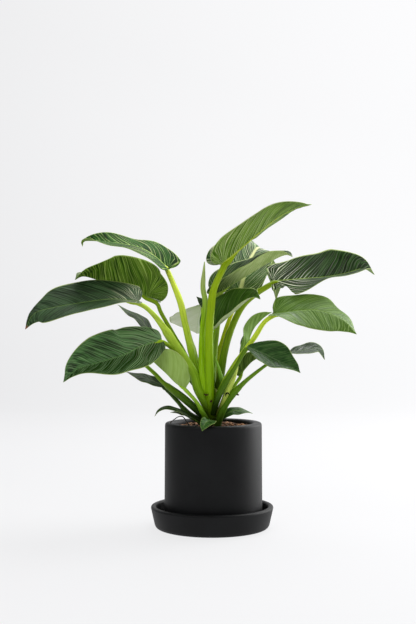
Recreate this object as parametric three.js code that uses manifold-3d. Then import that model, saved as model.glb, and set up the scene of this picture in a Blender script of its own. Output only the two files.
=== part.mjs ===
// Philodendron Birkin in a cylinder pot with its saucer.
// Millimetres, +Z up, +Y away from the front. The origin is the centre of the saucer's underside.
import * as THREE from 'three';
import { mergeVertices } from 'three/addons/utils/BufferGeometryUtils.js';
import Module from 'manifold-3d';

const wasm = await Module();
wasm.setup();

// ------------------------------------------------------------------ driving dimensions

const GAP = 0.3;                 // left between pieces that touch
const ROUND_STEPS = 40;          // facets round the pot and the saucer

const SAUCER_RIM_RADIUS = 81.7;
const SAUCER_BASE_RADIUS = 75.5;
const SAUCER_HEIGHT = 29.3;
const SAUCER_INNER_RADIUS = 74.5;
const SAUCER_FLOOR = 6.5;

const POT_X = 1.7;               // the pot stands this far right of the saucer's centre
const POT_TOP_RADIUS = 64.7;
const POT_FOOT_RADIUS = 65.4;
const POT_RIM = 139.8;           // height of the rim
const POT_INNER_RADIUS = 52;
const POT_FLOOR = 12;            // thickness of the pot's floor
const POT_HOLE_RADIUS = 6;       // drainage hole

const SOIL_WALL_HEIGHT = 133.5;  // soil surface at the pot's wall
const SOIL_CROWN_HEIGHT = 138.5; // soil surface round the stem
const STEM_FOOT = 112;           // how deep the stem reaches into the soil
const STEM_TOP = 186;
const STEM_FOOT_RADIUS = 9;
const STEM_TOP_RADIUS = 5.5;
const STEM_X = 2;
const STEM_Y = -9;
const STEM_SIDES = 14;

const BLADE_HALF_THICKNESS = 0.4;
const KEEL_DEPTH = 0.9;          // how far the midrib stands out below the blade at its base
const VEIN_FAN = 0.22;           // share of the margin whose veins leave the junction itself
const FAN_ROWS = 3;
const BLADE_ROWS = 8;
const BLADE_COLUMNS = 3;
const SMALL_ROWS = 7;
const SMALL_COLUMNS = 2;
const PETIOLE_SIDES = 8;
const PETIOLE_STEPS = 7;
const PETIOLE_FLATNESS = 0.85;
const SHOOT_SIDES = 8;
const SHOOT_STEPS = 8;
const STALK_SIDES = 6;
const STALK_STEPS = 3;

// ------------------------------------------------------------------ leaf outlines
// Margin of one half from the sinus round the basal lobe to the tip.
// X in leaf lengths along the midrib, Y in half widths.

const OUTLINES = {
  heart: [
    [0, 0], [-0.05, 0.1], [-0.09, 0.26], [-0.1, 0.48], [-0.05, 0.7], [0.06, 0.87], [0.2, 0.96],
    [0.36, 1], [0.52, 0.985], [0.66, 0.9], [0.78, 0.72], [0.88, 0.44], [0.945, 0.17], [1, 0],
  ],
  deep: [
    [0, 0], [-0.07, 0.02], [-0.1, 0.1], [-0.105, 0.36], [-0.06, 0.66], [0.06, 0.87], [0.2, 0.96],
    [0.36, 1], [0.52, 0.985], [0.66, 0.9], [0.78, 0.72], [0.88, 0.44], [0.945, 0.17], [1, 0],
  ],
  oval: [
    [0, 0], [-0.02, 0.1], [-0.02, 0.28], [0.03, 0.5], [0.12, 0.73], [0.23, 0.89], [0.36, 0.98],
    [0.5, 1], [0.64, 0.92], [0.77, 0.74], [0.87, 0.47], [0.94, 0.18], [1, 0],
  ],
  lance: [
    [0, 0], [0.03, 0.16], [0.11, 0.44], [0.23, 0.74], [0.37, 0.95], [0.5, 1], [0.64, 0.91],
    [0.77, 0.69], [0.87, 0.42], [0.94, 0.16], [1, 0],
  ],
};

// ------------------------------------------------------------------ the leaves
// rib      points along the midrib from the junction to the tip
// half     half width of the blade
// front    degrees the half nearer the front is lifted above the midrib: at base, middle, tip
// back     the same for the other half
// face     direction the upper side of the midrib looks at the base
// petiole  centre line from the crown to the junction, radii along it
// lobe     how far the basal lobes reach back past the junction

const LEAVES = [
  {
    name: 'leaf_01', half: 34, lobe: 0, face: [0.5, 0, 1],
    rib: [
      [-60, 34, 347], [-78, 40, 364], [-97, 48, 376], [-123, 58, 383],
      [-152, 70, 387], [-172, 80, 389], [-182, 84, 388], [-184, 86, 381],
    ],
    front: [-12, -20, 0], back: [42, 27, 60],
    petiole: [
      [-7, -6, 165], [-21, 1, 212], [-30.5, 12, 247], [-37, 20, 273], [-44, 27, 303],
      [-60, 34, 347],
    ],
    radii: [5.6, 5.8, 5.9, 5.3, 4.9, 3.2],
  },
  {
    name: 'leaf_02', half: 46, lobe: 22, shape: 'deep', face: [0.5, 0, 1],
    rib: [
      [-88.5, 20, 309], [-103, 15, 317], [-127, 3, 323], [-149, -10, 329], [-169, -24, 334],
      [-180, -30, 329],
    ],
    front: [80, 67, 43], back: [15, 5, 0],
    petiole: [
      [-8, 1, 168], [-36, 14, 228], [-53, 18, 258], [-69, 21, 286], [-75, 21, 299],
      [-88.5, 20, 308],
    ],
    radii: [5, 4, 3.4, 3.2, 3],
  },
  {
    name: 'leaf_03', half: 36, lobe: 4, face: [0.2, 0, 1],
    rib: [
      [-97, -32, 301], [-131, -35, 303.5], [-171, -39, 298.5], [-210, -44, 291.5], [-231, -46, 284],
      [-242, -47, 264],
    ],
    front: [-6, -20, -54], back: [42, 52, 46], notches: { back: [[0.88, 0.6, 0.12]] },
    petiole: [
      [-1, -13, 148], [-10, -18, 168], [-19, -20, 186], [-25.5, -20, 208], [-47, -20, 240],
      [-67.7, -24, 272], [-84.6, -29, 291], [-97, -32, 300.5],
    ],
    radii: [6, 7, 7.4, 6.8, 6.2, 5.6, 3.8, 3.3],
  },
  {
    name: 'leaf_04', half: 39, lobe: 4, shape: 'oval', face: [0.2, 0, 1],
    rib: [
      [-66, -40, 251], [-81, -43, 246], [-97, -48, 240], [-112, -56, 232], [-144, -70, 222],
      [-170, -82, 214], [-187, -88, 198],
    ],
    front: [-50, -28, -8], back: [52, 66, 66], notches: { back: [[0.88, 0.22, 0.12]] },
    petiole: [[-7, -11, 158], [-25, -9, 197], [-37, -10, 220], [-48, -20, 235], [-65, -39, 250]],
    radii: [4, 4, 3.6, 3.4, 3.2],
  },
  {
    name: 'leaf_05', half: 10, lobe: 0, shape: 'lance', face: [0.6, 0, 1],
    rib: [[-78, 28, 253], [-91, 46, 268], [-101, 62, 279], [-118, 84, 288], [-136, 108, 299]],
    front: [-32, -30, -10], back: [38, 30, 10],
    petiole: [[-5, -1, 166], [-41, 16, 211], [-76, 27, 250]],
    radii: [4.5, 3.6, 3],
  },
  {
    name: 'leaf_06', half: 30.5, lobe: 2, shape: 'oval', face: [0.7, 0, 0.6],
    rib: [[-34.5, -42, 189], [-46, -45, 195], [-60, -42, 208], [-73, -32, 218.5], [-84, -22, 228.5]],
    front: [85, 80, 50], back: [70, 50, 30],
    petiole: [[-1, -18, 134], [-12.5, -30, 155], [-21, -36, 170], [-34.5, -42, 188]],
    radii: [4, 3.4, 3, 2.6],
  },
  {
    name: 'leaf_07', half: 11, lobe: 0, shape: 'lance', face: [0.4, 0, 1],
    rib: [[-60, -8, 186], [-79, -4, 195], [-96, 0, 201], [-116, 6, 207]],
    front: [-30, -30, -15], back: [35, 30, 10],
    petiole: [[-10, -12, 141], [-31, -12, 151.5], [-45, -11, 167.5], [-59, -8, 185]],
    radii: [5, 4.6, 3.4, 2.8],
  },
  {
    name: 'leaf_08', half: 28, lobe: 2, shape: 'oval', face: [0.3, 0, 1],
    rib: [[-104, -6, 231], [-120, 6, 238], [-140, 22, 240], [-160, 42, 236], [-174, 60, 226]],
    front: [-14, -10, 0], back: [14, 20, 10],
    petiole: [
      [-8, -16, 146], [-35, -22, 171], [-62, -22, 192], [-75, -20, 205], [-89, -14, 217],
      [-103, -7, 230],
    ],
    radii: [5.5, 5.4, 5, 3.3, 3, 2.8],
  },
  {
    name: 'leaf_09', half: 43, lobe: 6, face: [0, 0.3, 1],
    rib: [[-12, 40, 298], [-17, 72, 289], [-20, 104, 275], [-22, 126, 257]],
    front: [-20, -12, 0], back: [-70, -60, -40],
    petiole: [[-3, 1, 168], [-12, 14, 222], [-12, 38, 296]],
    radii: [4.5, 3.6, 3],
  },
  {
    name: 'leaf_10', half: 14, lobe: 5, face: [0.4, 0, 1],
    rib: [[14, 22, 288], [4, 25, 297], [-9, 28, 304], [-21.5, 31, 308.5]],
    front: [-60, -72, -75], back: [0, 0, 0],
    petiole: [[0, 1, 168], [0, 14, 212], [4, 18, 255], [13, 22, 286.5]],
    radii: [4.5, 3.6, 3.2, 3],
  },
  {
    name: 'leaf_11', half: 34, lobe: 13, face: [-0.6, 0, 1],
    rib: [
      [14, -32, 350], [32, -22, 365.5], [59, -8, 389.5], [85, 4, 411.5], [111, 14, 427],
      [136, 22, 434],
    ],
    front: [66, 41, 4], back: [62, -6, -14], notches: { back: [[0.88, 0.9, 0.11]] },
    petiole: [
      [0, -14, 146], [-2, -21, 166], [-3, -28, 197], [-4, -36, 226], [-4, -42, 261], [-2, -46, 289],
      [2, -44, 316], [14, -33, 349],
    ],
    radii: [6, 6.2, 6, 5.6, 5, 4.8, 4.6, 4],
  },
  {
    name: 'leaf_12', half: 38, lobe: 9, share: { front: 0.74 }, face: [-0.3, 0, 1],
    rib: [
      [7, 12, 313], [30, 3, 326.5], [57, -8, 342.5], [83, -20, 357], [97, -28, 362],
      [105, -34, 359],
    ],
    front: [26, 20, 40], back: [60, 33, 12],
    petiole: [[1, -2, 168], [1, 2, 200], [3, 5, 228], [7, 7, 260], [10, 9, 288], [7, 11, 311]],
    radii: [4.5, 4, 3.6, 3, 3, 3],
  },
  {
    name: 'leaf_13', half: 39, lobe: 2, shape: 'oval', share: { front: 0.4 }, face: [-0.5, 0, 1],
    rib: [
      [-8, 2, 256], [8, -8, 269.5], [30, -24, 288], [47, -40, 303], [55, -48, 306.5],
      [62, -54, 303],
    ],
    front: [4, 8, 8], back: [84, 50, 10], notches: { back: [[0.72, 0.12, 0.14], [0.92, 0.4, 0.07]] },
    petiole: [[1, -10, 172], [0, -5, 215], [-4, -1, 240], [-8, 1, 254]],
    radii: [3.4, 2.8, 2.4, 2.4],
  },
  {
    name: 'leaf_14', half: 38, lobe: 6, share: { front: 0.85 }, face: [0, -1, 0.4],
    rib: [
      [38, 34, 313.5], [42.5, 42, 330.5], [48.5, 56, 348.5], [56.5, 74, 367], [68, 94, 380],
      [82, 114, 362], [92, 124, 329.5], [94, 126, 304],
    ],
    front: [10, 10, 10], back: [10, 10, 10], notches: { front: [[0.62, 0.6, 0.15]] },
    petiole: [[3, 1, 167], [5, 12, 202], [10.8, 20, 236], [21.3, 27, 271], [37.5, 34, 311]],
    radii: [5, 4.4, 3.6, 3, 2.8],
  },
  {
    name: 'leaf_15', half: 43, lobe: 1, face: [0, 0, 1],
    rib: [[81, 6, 329], [119, 12, 332], [154, 20, 335], [182, 28, 340], [208, 38, 347], [225, 45, 339]],
    front: [-47, -3, -3], back: [38, 50, 62],
    share: { front: 0.87 },
    notches: { front: [[0.04, 0.6, 0.06], [0.105, 0.75, 0.025]], back: [[0.72, -0.2, 0.2]] },
    petiole: [
      [4, -4, 172], [11, -6, 200], [16, -9, 232], [25.5, -9, 265], [44.5, -7, 300], [80, 5, 328],
    ],
    radii: [6, 5.8, 5.4, 5.2, 5, 4],
  },
  {
    name: 'leaf_16', half: 35, lobe: 0, face: [0, 0, 1],
    rib: [[81, -26, 285], [117, -38, 289], [141, -48, 288], [168, -60, 276], [184, -68, 258]],
    front: [-8, -42, -46], back: [46, 34, -4], notches: { back: [[0.66, 0.4, 0.13]] },
    petiole: [
      [0, -18, 157], [16, -26, 194], [34, -28, 224], [55, -29, 253], [68, -28, 273], [80, -26, 284],
    ],
    radii: [5, 5, 4.4, 4, 3.8, 3.2],
  },
  {
    name: 'leaf_17', half: 18.5, lobe: 0, shape: 'lance', face: [-0.8, 0, 0.6],
    rib: [[38, 18, 229], [49, 26, 244], [52, 34, 254], [59, 42, 267], [72, 52, 280], [84, 58, 288]],
    front: [60, 50, 30], back: [30, 20, 10],
    petiole: [[5, 0, 162], [16, 8, 189], [37, 17, 228]],
    radii: [4, 3.4, 2.8],
  },
  {
    name: 'leaf_18', half: 27, lobe: 0, shape: 'lance', face: [0.2, 0, 1],
    rib: [[45, -46, 242], [66, -51, 233], [88, -58, 222], [101, -64, 216], [112, -70, 209]],
    front: [-22, -22, -10], back: [52, 58, 48], notches: { back: [[0.8, 0.25, 0.18]] },
    petiole: [[1, -20, 153], [7.5, -32, 174], [16.5, -38, 193], [31, -43, 217], [44, -46, 240]],
    radii: [4.4, 4.2, 3.8, 3.2, 2.8],
  },
  {
    name: 'leaf_19', half: 21, lobe: 0, shape: 'lance', face: [0, 0, 1],
    rib: [[86, -34, 231], [107, -32, 234], [126, -29, 238], [138, -27, 237], [148, -26, 224]],
    front: [12, -12, -15], back: [-10, 18, 52],
    petiole: [
      [6, -17, 131], [12, -22, 153], [21, -26, 171], [36, -31, 189], [55, -34, 206], [85, -34, 230],
    ],
    radii: [5, 5.1, 4.9, 3.6, 2.6, 2.5],
  },
  {
    name: 'leaf_20', half: 16, lobe: 1, shape: 'oval', face: [-0.7, 0, 0.7],
    rib: [[35.5, -7, 202], [44.5, -12, 213], [53, -17, 222], [63, -22, 227.5], [73, -28, 231.5]],
    front: [75, 70, 50], back: [40, 40, 20],
    petiole: [[8, -8, 150], [17, -9, 171], [28, -10, 187], [35, -8, 200]],
    radii: [3.6, 3.6, 3, 2.6],
  },
];

// Four young leaves at the pot's rim; each is one body with its thin stalk.
const SMALL_LEAVES = [
  {
    name: 'small_leaf_left', half: 6, lobe: 0, shape: 'lance', face: [0.3, 0, 1],
    rib: [
      [-21, -18, 143], [-36, -24, 153], [-50, -30, 160.5], [-62, -34, 161.5], [-70, -37, 158],
      [-75, -40, 151],
    ],
    front: [-20, -20, -10], back: [20, 20, 10],
    petiole: [[-9, -15, 132], [-14, -17, 138], [-23, -19, 144.3]], radii: [1.8, 1.7, 1.3],
  },
  {
    name: 'small_leaf_left_low', half: 9, lobe: 0, shape: 'lance', face: [0.3, 0, 1],
    rib: [[-20, -8, 142], [-32, -6, 151], [-43, -5, 154], [-56, -2, 153]],
    front: [-20, -20, -10], back: [20, 20, 10],
    petiole: [[-9, -8, 132], [-14, -8, 138], [-22, -8, 143.5]], radii: [1.8, 1.7, 1.3],
  },
  {
    name: 'small_leaf_front', half: 13, lobe: 0, shape: 'lance', face: [0, 0, 1],
    rib: [[-1, -42, 146], [-7, -56, 145], [-11, -65, 141], [-13, -69, 135]],
    front: [4, 4, 10], back: [30, 50, 40], share: { back: 0.6 },
    petiole: [[-1, -22, 132], [0, -30, 141], [-1, -43, 146]], radii: [1.8, 1.8, 1.4],
  },
  {
    name: 'small_leaf_right', half: 8, lobe: 0, shape: 'lance', face: [0, 0, 1],
    rib: [
      [12, -14, 143], [18, -13, 151], [25, -12, 155], [34, -11, 156], [45, -9, 155], [54, -7, 152],
    ],
    front: [-35, -35, -10], back: [35, 35, 10],
    petiole: [[9, -12, 132], [10, -13, 138], [13, -14, 144.5]], radii: [1.8, 1.7, 1.3],
  },
];

// Shoots without a blade: the newest leaf still rolled up, two sheaths left by older leaves, a rootlet.
// line     centre line from the crown or the soil to the tip, radii along it

const SHOOTS = [
  {
    name: 'rolled_leaf', color: 0x8fa84e,
    line: [
      [-2, -13, 152], [-7, -19, 178], [-12, -24, 204], [-13, -26, 237], [-12, -26, 270],
      [-9, -26, 299], [-12, -26, 318], [-11, -25, 339], [-10, -23, 353],
    ],
    radii: [4, 4.6, 5, 5, 4.4, 3.4, 3.6, 3.2, 0.6],
  },
  {
    name: 'sheath_middle', color: 0x5c7a2c,
    line: [[4, -13, 170], [8, -15, 176], [13, -18, 192], [10, -20, 208], [4, -22, 228]],
    radii: [3, 3, 3, 2, 0.6],
  },
  {
    name: 'sheath_right', color: 0xa8bf4f,
    line: [[6, -17, 150], [15.5, -27, 172], [22, -29, 188], [28, -31, 202], [33, -32, 216]],
    radii: [2.4, 3.4, 4.2, 4, 1.6],
  },
  {
    name: 'rootlet', color: 0x2a2620,
    line: [
      [-28, -10, 133], [-34, -13, 142], [-39, -16, 148.5], [-45, -20, 148.5], [-52, -24, 144],
      [-55, -26, 141.2],
    ],
    radii: [0.9, 0.8, 0.7, 0.6, 0.6, 0.6],
  },
];

// ------------------------------------------------------------------ curves

const clamp = THREE.MathUtils.clamp;
const vec = (p) => new THREE.Vector3(...p);

// A curve measured by length, carrying a frame that does not twist round it.
class Rail {
  constructor(points, up) {
    this.steps = 120;
    const curve = new THREE.CatmullRomCurve3(points.map(vec), false, 'catmullrom', 0.5);
    curve.arcLengthDivisions = 240;
    this.length = curve.getLength();
    this.pos = curve.getSpacedPoints(this.steps);
    this.tan = this.pos.map((p, i) => {
      const before = this.pos[Math.max(i - 1, 0)];
      const after = this.pos[Math.min(i + 1, this.steps)];
      return after.clone().sub(before).normalize();
    });
    const normal = up.clone();
    this.nor = this.tan.map((t) => {
      normal.addScaledVector(t, -t.dot(normal)).normalize();
      return normal.clone();
    });
  }

  // Frame at share s of the length. Below 0 it runs straight back from the start.
  at(s) {
    const c = clamp(s, 0, 1) * this.steps;
    const i = Math.min(Math.floor(c), this.steps - 1);
    const f = c - i;
    const pos = this.pos[i].clone().lerp(this.pos[i + 1], f);
    pos.addScaledVector(this.tan[0], Math.min(s, 0) * this.length);
    const tan = this.tan[i].clone().lerp(this.tan[i + 1], f).normalize();
    const nor = this.nor[i].clone().lerp(this.nor[i + 1], f).normalize();
    const side = new THREE.Vector3().crossVectors(tan, nor).normalize();
    return { pos, tan, nor, side };
  }
}

// Smooth value at s through the values given at 0, 1/2 and 1.
function through(values, s) {
  const low = 0.5 * (1 - Math.cos(Math.PI * clamp(2 * s, 0, 1)));
  const high = 0.5 * (1 - Math.cos(Math.PI * clamp(2 * s - 1, 0, 1)));
  return values[0] + (values[1] - values[0]) * low + (values[2] - values[1]) * high;
}

// Linear value at s through values spread evenly over 0..1.
function along(values, s) {
  const c = clamp(s, 0, 1) * (values.length - 1);
  const i = Math.min(Math.floor(c), values.length - 2);
  return values[i] + (values[i + 1] - values[i]) * (c - i);
}

// Point of the margin at share t of its length; a leaf is about four half widths long.
function marginCurve(shape) {
  const stretched = OUTLINES[shape].map(([x, y]) => new THREE.Vector3(4 * x, y, 0));
  const curve = new THREE.CatmullRomCurve3(stretched, false, 'catmullrom', 0.5);
  curve.arcLengthDivisions = 400;
  return (t) => {
    const p = curve.getPointAt(t);
    return [p.x / 4, Math.max(p.y, 0)];
  };
}

// ------------------------------------------------------------------ sheets and sweeps

// Point of a half blade at margin share t and share v of the vein that runs there.
function bladePoint(leaf, rail, margin, side, sign, t, v) {
  let [marginX, marginY] = margin(t);
  if (marginX < 0) marginX *= (10 * leaf.lobe) / rail.length;
  const start = clamp((t - VEIN_FAN) / (1 - VEIN_FAN), 0, 1);
  const bendX = 0.45 * start + 0.55 * marginX - 0.06 * (1 - start) * marginY;
  const bendY = 0.55 * marginY;
  const x = (1 - v) ** 2 * start + 2 * v * (1 - v) * bendX + v ** 2 * marginX;
  let y = 2 * v * (1 - v) * bendY + v ** 2 * marginY;
  for (const [place, depth, width] of (leaf.notches && leaf.notches[side]) || []) {
    y *= 1 - depth * Math.exp(-(((x - place) / width) ** 2)) * v;
  }
  const share = leaf.share && leaf.share[side] ? leaf.share[side] : 1;
  const width = y * leaf.half * share;
  const lift = THREE.MathUtils.degToRad(through(leaf[side], x));
  const frame = rail.at(x);
  frame.side.multiplyScalar(sign);
  const phase = side === 'front' ? 0 : 0.2;
  const ripple = 1.2 * y * y * Math.sin(2 * Math.PI * (3 * x + phase)) * clamp(1 - x, 0, 1.1);
  return frame.pos
    .addScaledVector(frame.side, width * Math.cos(lift) - ripple * Math.sin(lift))
    .addScaledVector(frame.nor, width * Math.sin(lift) + ripple * Math.cos(lift));
}

// Middle surface of a blade: both halves share the midrib's vertices.
function bladeSheet(leaf, rows, columns) {
  const rail = new Rail(leaf.rib, vec(leaf.face));
  const margin = marginCurve(leaf.shape || 'heart');
  const frontSign = rail.at(0).side.y < 0 ? 1 : -1;
  const points = [];
  const keel = [];
  const faces = [];
  const rib = [];
  const rowShare = [];
  for (let i = 1; i <= FAN_ROWS; i++) rowShare.push((VEIN_FAN * i) / FAN_ROWS);
  for (let i = 1; i <= rows; i++) rowShare.push(VEIN_FAN + ((1 - VEIN_FAN) * i) / rows);
  const last = rowShare.length - 1;
  const add = (point, depth) => {
    points.push(point);
    keel.push(depth);
    return points.length - 1;
  };
  rowShare.forEach((t, i) => {
    const s = clamp((t - VEIN_FAN) / (1 - VEIN_FAN), 0, 1);
    rib.push(i < FAN_ROWS && i > 0 ? rib[0] : add(rail.at(s).pos, KEEL_DEPTH * (1 - s)));
  });
  for (const [side, sign] of [['front', frontSign], ['back', -frontSign]]) {
    const grid = rowShare.map((t, i) => {
      if (i === last) return new Array(columns + 1).fill(rib[last]);
      const row = [rib[i]];
      for (let j = 1; j <= columns; j++) {
        row.push(add(bladePoint(leaf, rail, margin, side, sign, t, j / columns), 0));
      }
      return row;
    });
    for (let i = 0; i < last; i++) {
      for (let j = 0; j < columns; j++) {
        const [a, b, c, d] = [grid[i][j], grid[i][j + 1], grid[i + 1][j], grid[i + 1][j + 1]];
        for (const face of [[a, b, d], [a, d, c]]) {
          if (new Set(face).size < 3) continue;
          faces.push(sign > 0 ? face : [face[0], face[2], face[1]]);
        }
      }
    }
  }
  return { points, keel, faces };
}

// Gives a sheet its thickness: both skins have the same triangles, and a wall closes the margin.
function thicken(sheet, halfThickness, grow = 0) {
  const { points, keel, faces } = sheet;
  const sums = points.map(() => new THREE.Vector3());
  const around = points.map(() => []);
  const edges = new Map();
  for (const face of faces) {
    const [a, b, c] = face.map((k) => points[k]);
    const normal = b.clone().sub(a).cross(c.clone().sub(a)).normalize();
    face.forEach((k, n) => {
      const left = points[face[(n + 1) % 3]].clone().sub(points[k]);
      const right = points[face[(n + 2) % 3]].clone().sub(points[k]);
      sums[k].addScaledVector(normal, left.angleTo(right));
      around[k].push(normal);
      edges.set(`${k},${face[(n + 1) % 3]}`, [k, face[(n + 1) % 3], normal]);
    });
  }
  const outward = points.map(() => new THREE.Vector3());
  const walls = [];
  for (const [u, v, normal] of edges.values()) {
    if (edges.has(`${v},${u}`)) continue;
    walls.push([u, v]);
    const out = points[v].clone().sub(points[u]).cross(normal).normalize();
    outward[u].add(out);
    outward[v].add(out);
  }
  const top = [];
  const bottom = [];
  points.forEach((p, k) => {
    const n = sums[k].normalize();
    const cosine = Math.min(...around[k].map((m) => m.dot(n)));
    const reach = halfThickness / clamp(cosine, 0.35, 1);
    const edge = p.clone();
    if (grow > 0 && outward[k].length() > 0) edge.addScaledVector(outward[k].normalize(), grow);
    top.push(edge.clone().addScaledVector(n, reach));
    bottom.push(edge.addScaledVector(n, -reach - keel[k]));
  });
  const shift = points.length;
  const index = [];
  for (const [a, b, c] of faces) {
    index.push(a, b, c);
    index.push(a + shift, c + shift, b + shift);
  }
  for (const [u, v] of walls) {
    index.push(v, u, u + shift);
    index.push(v, u + shift, v + shift);
  }
  return closed([...top, ...bottom], index);
}

// A round or flattened bar along a line. The first and last rings are closed flat.
function sweep(points, radii, up, steps, sides, flatness, from = 0, to = 1, extra = 0) {
  const rail = new Rail(points, up);
  const ring = [];
  const index = [];
  for (let i = 0; i <= steps; i++) {
    const s = from + ((to - from) * i) / steps;
    const { pos, nor, side } = rail.at(s);
    const radius = along(radii, s) + extra;
    for (let j = 0; j < sides; j++) {
      const angle = (2 * Math.PI * (j + 0.5)) / sides;
      ring.push(
        pos.clone()
          .addScaledVector(side, radius * Math.cos(angle))
          .addScaledVector(nor, radius * flatness * Math.sin(angle)),
      );
    }
  }
  for (let i = 0; i < steps; i++) {
    for (let j = 0; j < sides; j++) {
      const a = i * sides + j;
      const b = i * sides + ((j + 1) % sides);
      index.push(a, a + sides, b + sides, a, b + sides, b);
    }
  }
  const end = steps * sides;
  for (let j = 1; j < sides - 1; j++) {
    index.push(0, j, j + 1);
    index.push(end, end + j + 1, end + j);
  }
  return closed(ring, index);
}

// ------------------------------------------------------------------ solids

function closed(points, index) {
  const geometry = new THREE.BufferGeometry();
  const numbers = points.flatMap((p) => [p.x, p.y, p.z]);
  geometry.setAttribute('position', new THREE.Float32BufferAttribute(numbers, 3));
  geometry.setIndex(index);
  return geometry;
}

function solid(geometry) {
  const plain = geometry.clone();
  plain.deleteAttribute('normal');
  plain.deleteAttribute('uv');
  const merged = mergeVertices(plain, 1e-4);
  return new wasm.Manifold(new wasm.Mesh({
    numProp: 3,
    vertProperties: new Float32Array(merged.attributes.position.array),
    triVerts: new Uint32Array(merged.index.array),
  }));
}

function geometryOf(manifold) {
  const mesh = manifold.getMesh();
  const geometry = new THREE.BufferGeometry();
  geometry.setAttribute('position', new THREE.Float32BufferAttribute(mesh.vertProperties, 3));
  geometry.setIndex([...mesh.triVerts]);
  geometry.computeVertexNormals();
  return geometry;
}

// The largest body of a solid that a cut has left in several.
function largest(manifold) {
  const bodies = manifold.decompose();
  let best = bodies[0];
  for (const body of bodies) {
    if (body.volume() > best.volume()) best = body;
  }
  return best;
}

// Cuts away the corner of a solid that still touches another one.
function clearOf(manifold, other) {
  const common = manifold.intersect(other);
  if (common.isEmpty()) return manifold;
  const { min, max } = common.boundingBox();
  const box = new THREE.BoxGeometry(...max.map((c, k) => c - min[k] + 6 * GAP));
  box.translate(...max.map((c, k) => (c + min[k]) / 2));
  return manifold.subtract(solid(box));
}

// Body of revolution about the vertical through (x, y) from [radius, height] points.
function turned(profile, x, y, steps) {
  const geometry = new THREE.LatheGeometry(profile.map(([r, z]) => new THREE.Vector2(r, z)), steps);
  geometry.rotateX(Math.PI / 2);
  geometry.translate(x, y, 0);
  return solid(geometry);
}

// ------------------------------------------------------------------ pot, saucer, soil, stem

function saucer() {
  return turned([
    [0, 0], [SAUCER_BASE_RADIUS - 4, 0], [SAUCER_BASE_RADIUS - 1, 1], [SAUCER_BASE_RADIUS + 1, 4],
    [SAUCER_RIM_RADIUS, SAUCER_HEIGHT - 2.5], [SAUCER_RIM_RADIUS - 0.6, SAUCER_HEIGHT - 0.8],
    [SAUCER_RIM_RADIUS - 2.4, SAUCER_HEIGHT], [SAUCER_INNER_RADIUS + 2, SAUCER_HEIGHT],
    [SAUCER_INNER_RADIUS + 0.4, SAUCER_HEIGHT - 1], [SAUCER_INNER_RADIUS - 0.2, SAUCER_HEIGHT - 3],
    [SAUCER_INNER_RADIUS - 1, SAUCER_FLOOR + 6], [SAUCER_INNER_RADIUS - 3, SAUCER_FLOOR + 2],
    [SAUCER_INNER_RADIUS - 6, SAUCER_FLOOR],
    [0, SAUCER_FLOOR],
  ], 0, 0, ROUND_STEPS);
}

function pot() {
  const foot = SAUCER_FLOOR + GAP;
  const floor = foot + POT_FLOOR;
  return turned([
    [POT_HOLE_RADIUS, foot], [POT_FOOT_RADIUS - 3, foot], [POT_FOOT_RADIUS - 0.8, foot + 0.9],
    [POT_FOOT_RADIUS, foot + 3], [POT_TOP_RADIUS, POT_RIM - 3], [POT_TOP_RADIUS - 0.9, POT_RIM - 0.9],
    [POT_TOP_RADIUS - 3, POT_RIM], [POT_INNER_RADIUS + 3, POT_RIM],
    [POT_INNER_RADIUS + 0.9, POT_RIM - 0.9], [POT_INNER_RADIUS, POT_RIM - 3],
    [POT_INNER_RADIUS, floor + 6], [POT_INNER_RADIUS - 6, floor], [POT_HOLE_RADIUS, floor],
    [POT_HOLE_RADIUS, foot],
  ], POT_X, 0, ROUND_STEPS);
}

// The potting mix fills the pot and rises a little towards the stem.
function soil() {
  const floor = SAUCER_FLOOR + GAP + POT_FLOOR + GAP;
  const wall = POT_INNER_RADIUS - 0.4;
  const crown = SOIL_CROWN_HEIGHT;
  const edge = SOIL_WALL_HEIGHT;
  return turned([
    [0, floor], [wall - 6, floor], [wall, floor + 6], [wall, edge],
    [wall * 0.8, edge + (crown - edge) * 0.45], [wall * 0.5, edge + (crown - edge) * 0.85],
    [wall * 0.2, crown], [0, crown],
  ], POT_X, 0, ROUND_STEPS);
}

// Short thick stem with a leaf scar every few millimetres; extra grows it by that much.
function stem(extra) {
  const profile = [[0, STEM_FOOT - extra], [STEM_FOOT_RADIUS - 1 + extra, STEM_FOOT - extra]];
  const scars = 4;
  for (let i = 0; i <= scars; i++) {
    const s = i / scars;
    const radius = STEM_FOOT_RADIUS + (STEM_TOP_RADIUS - STEM_FOOT_RADIUS) * s + extra;
    const height = STEM_FOOT + 4 + (STEM_TOP - STEM_FOOT - 8) * s;
    profile.push([radius, height], [radius - 0.7, height + 1.5]);
  }
  profile.push([STEM_TOP_RADIUS - 2 + extra, STEM_TOP + extra], [0, STEM_TOP + extra]);
  return turned(profile, STEM_X, STEM_Y, STEM_SIDES);
}

// The plain hole the stem's foot stands in.
function stemHole() {
  const radius = STEM_FOOT_RADIUS + GAP;
  return turned([
    [0, STEM_FOOT - GAP], [radius, STEM_FOOT - GAP], [radius, POT_RIM + 10], [0, POT_RIM + 10],
  ], STEM_X, STEM_Y, STEM_SIDES);
}

// ------------------------------------------------------------------ petioles

// The channelled side of a petiole looks to the plant's middle.
function petioleUp(line) {
  const first = vec(line[0]);
  const last = vec(line[line.length - 1]);
  return new THREE.Vector3(first.x - last.x, first.y - last.y, 0.5 * (last.z - first.z));
}

function petiole(leaf, extra) {
  const line = leaf.petiole;
  const length = new THREE.CatmullRomCurve3(line.map(vec)).getLength();
  const stop = extra > 0 ? 1 : 1 - 1.2 / length;
  return solid(sweep(
    line, leaf.radii, petioleUp(line), PETIOLE_STEPS, PETIOLE_SIDES, PETIOLE_FLATNESS, 0, stop, extra,
  ));
}

// Thin stalk of a small leaf.
function stalk(leaf, extra) {
  return solid(sweep(
    leaf.petiole, leaf.radii, petioleUp(leaf.petiole), STALK_STEPS, STALK_SIDES, 1, 0, 1, extra,
  ));
}

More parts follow.
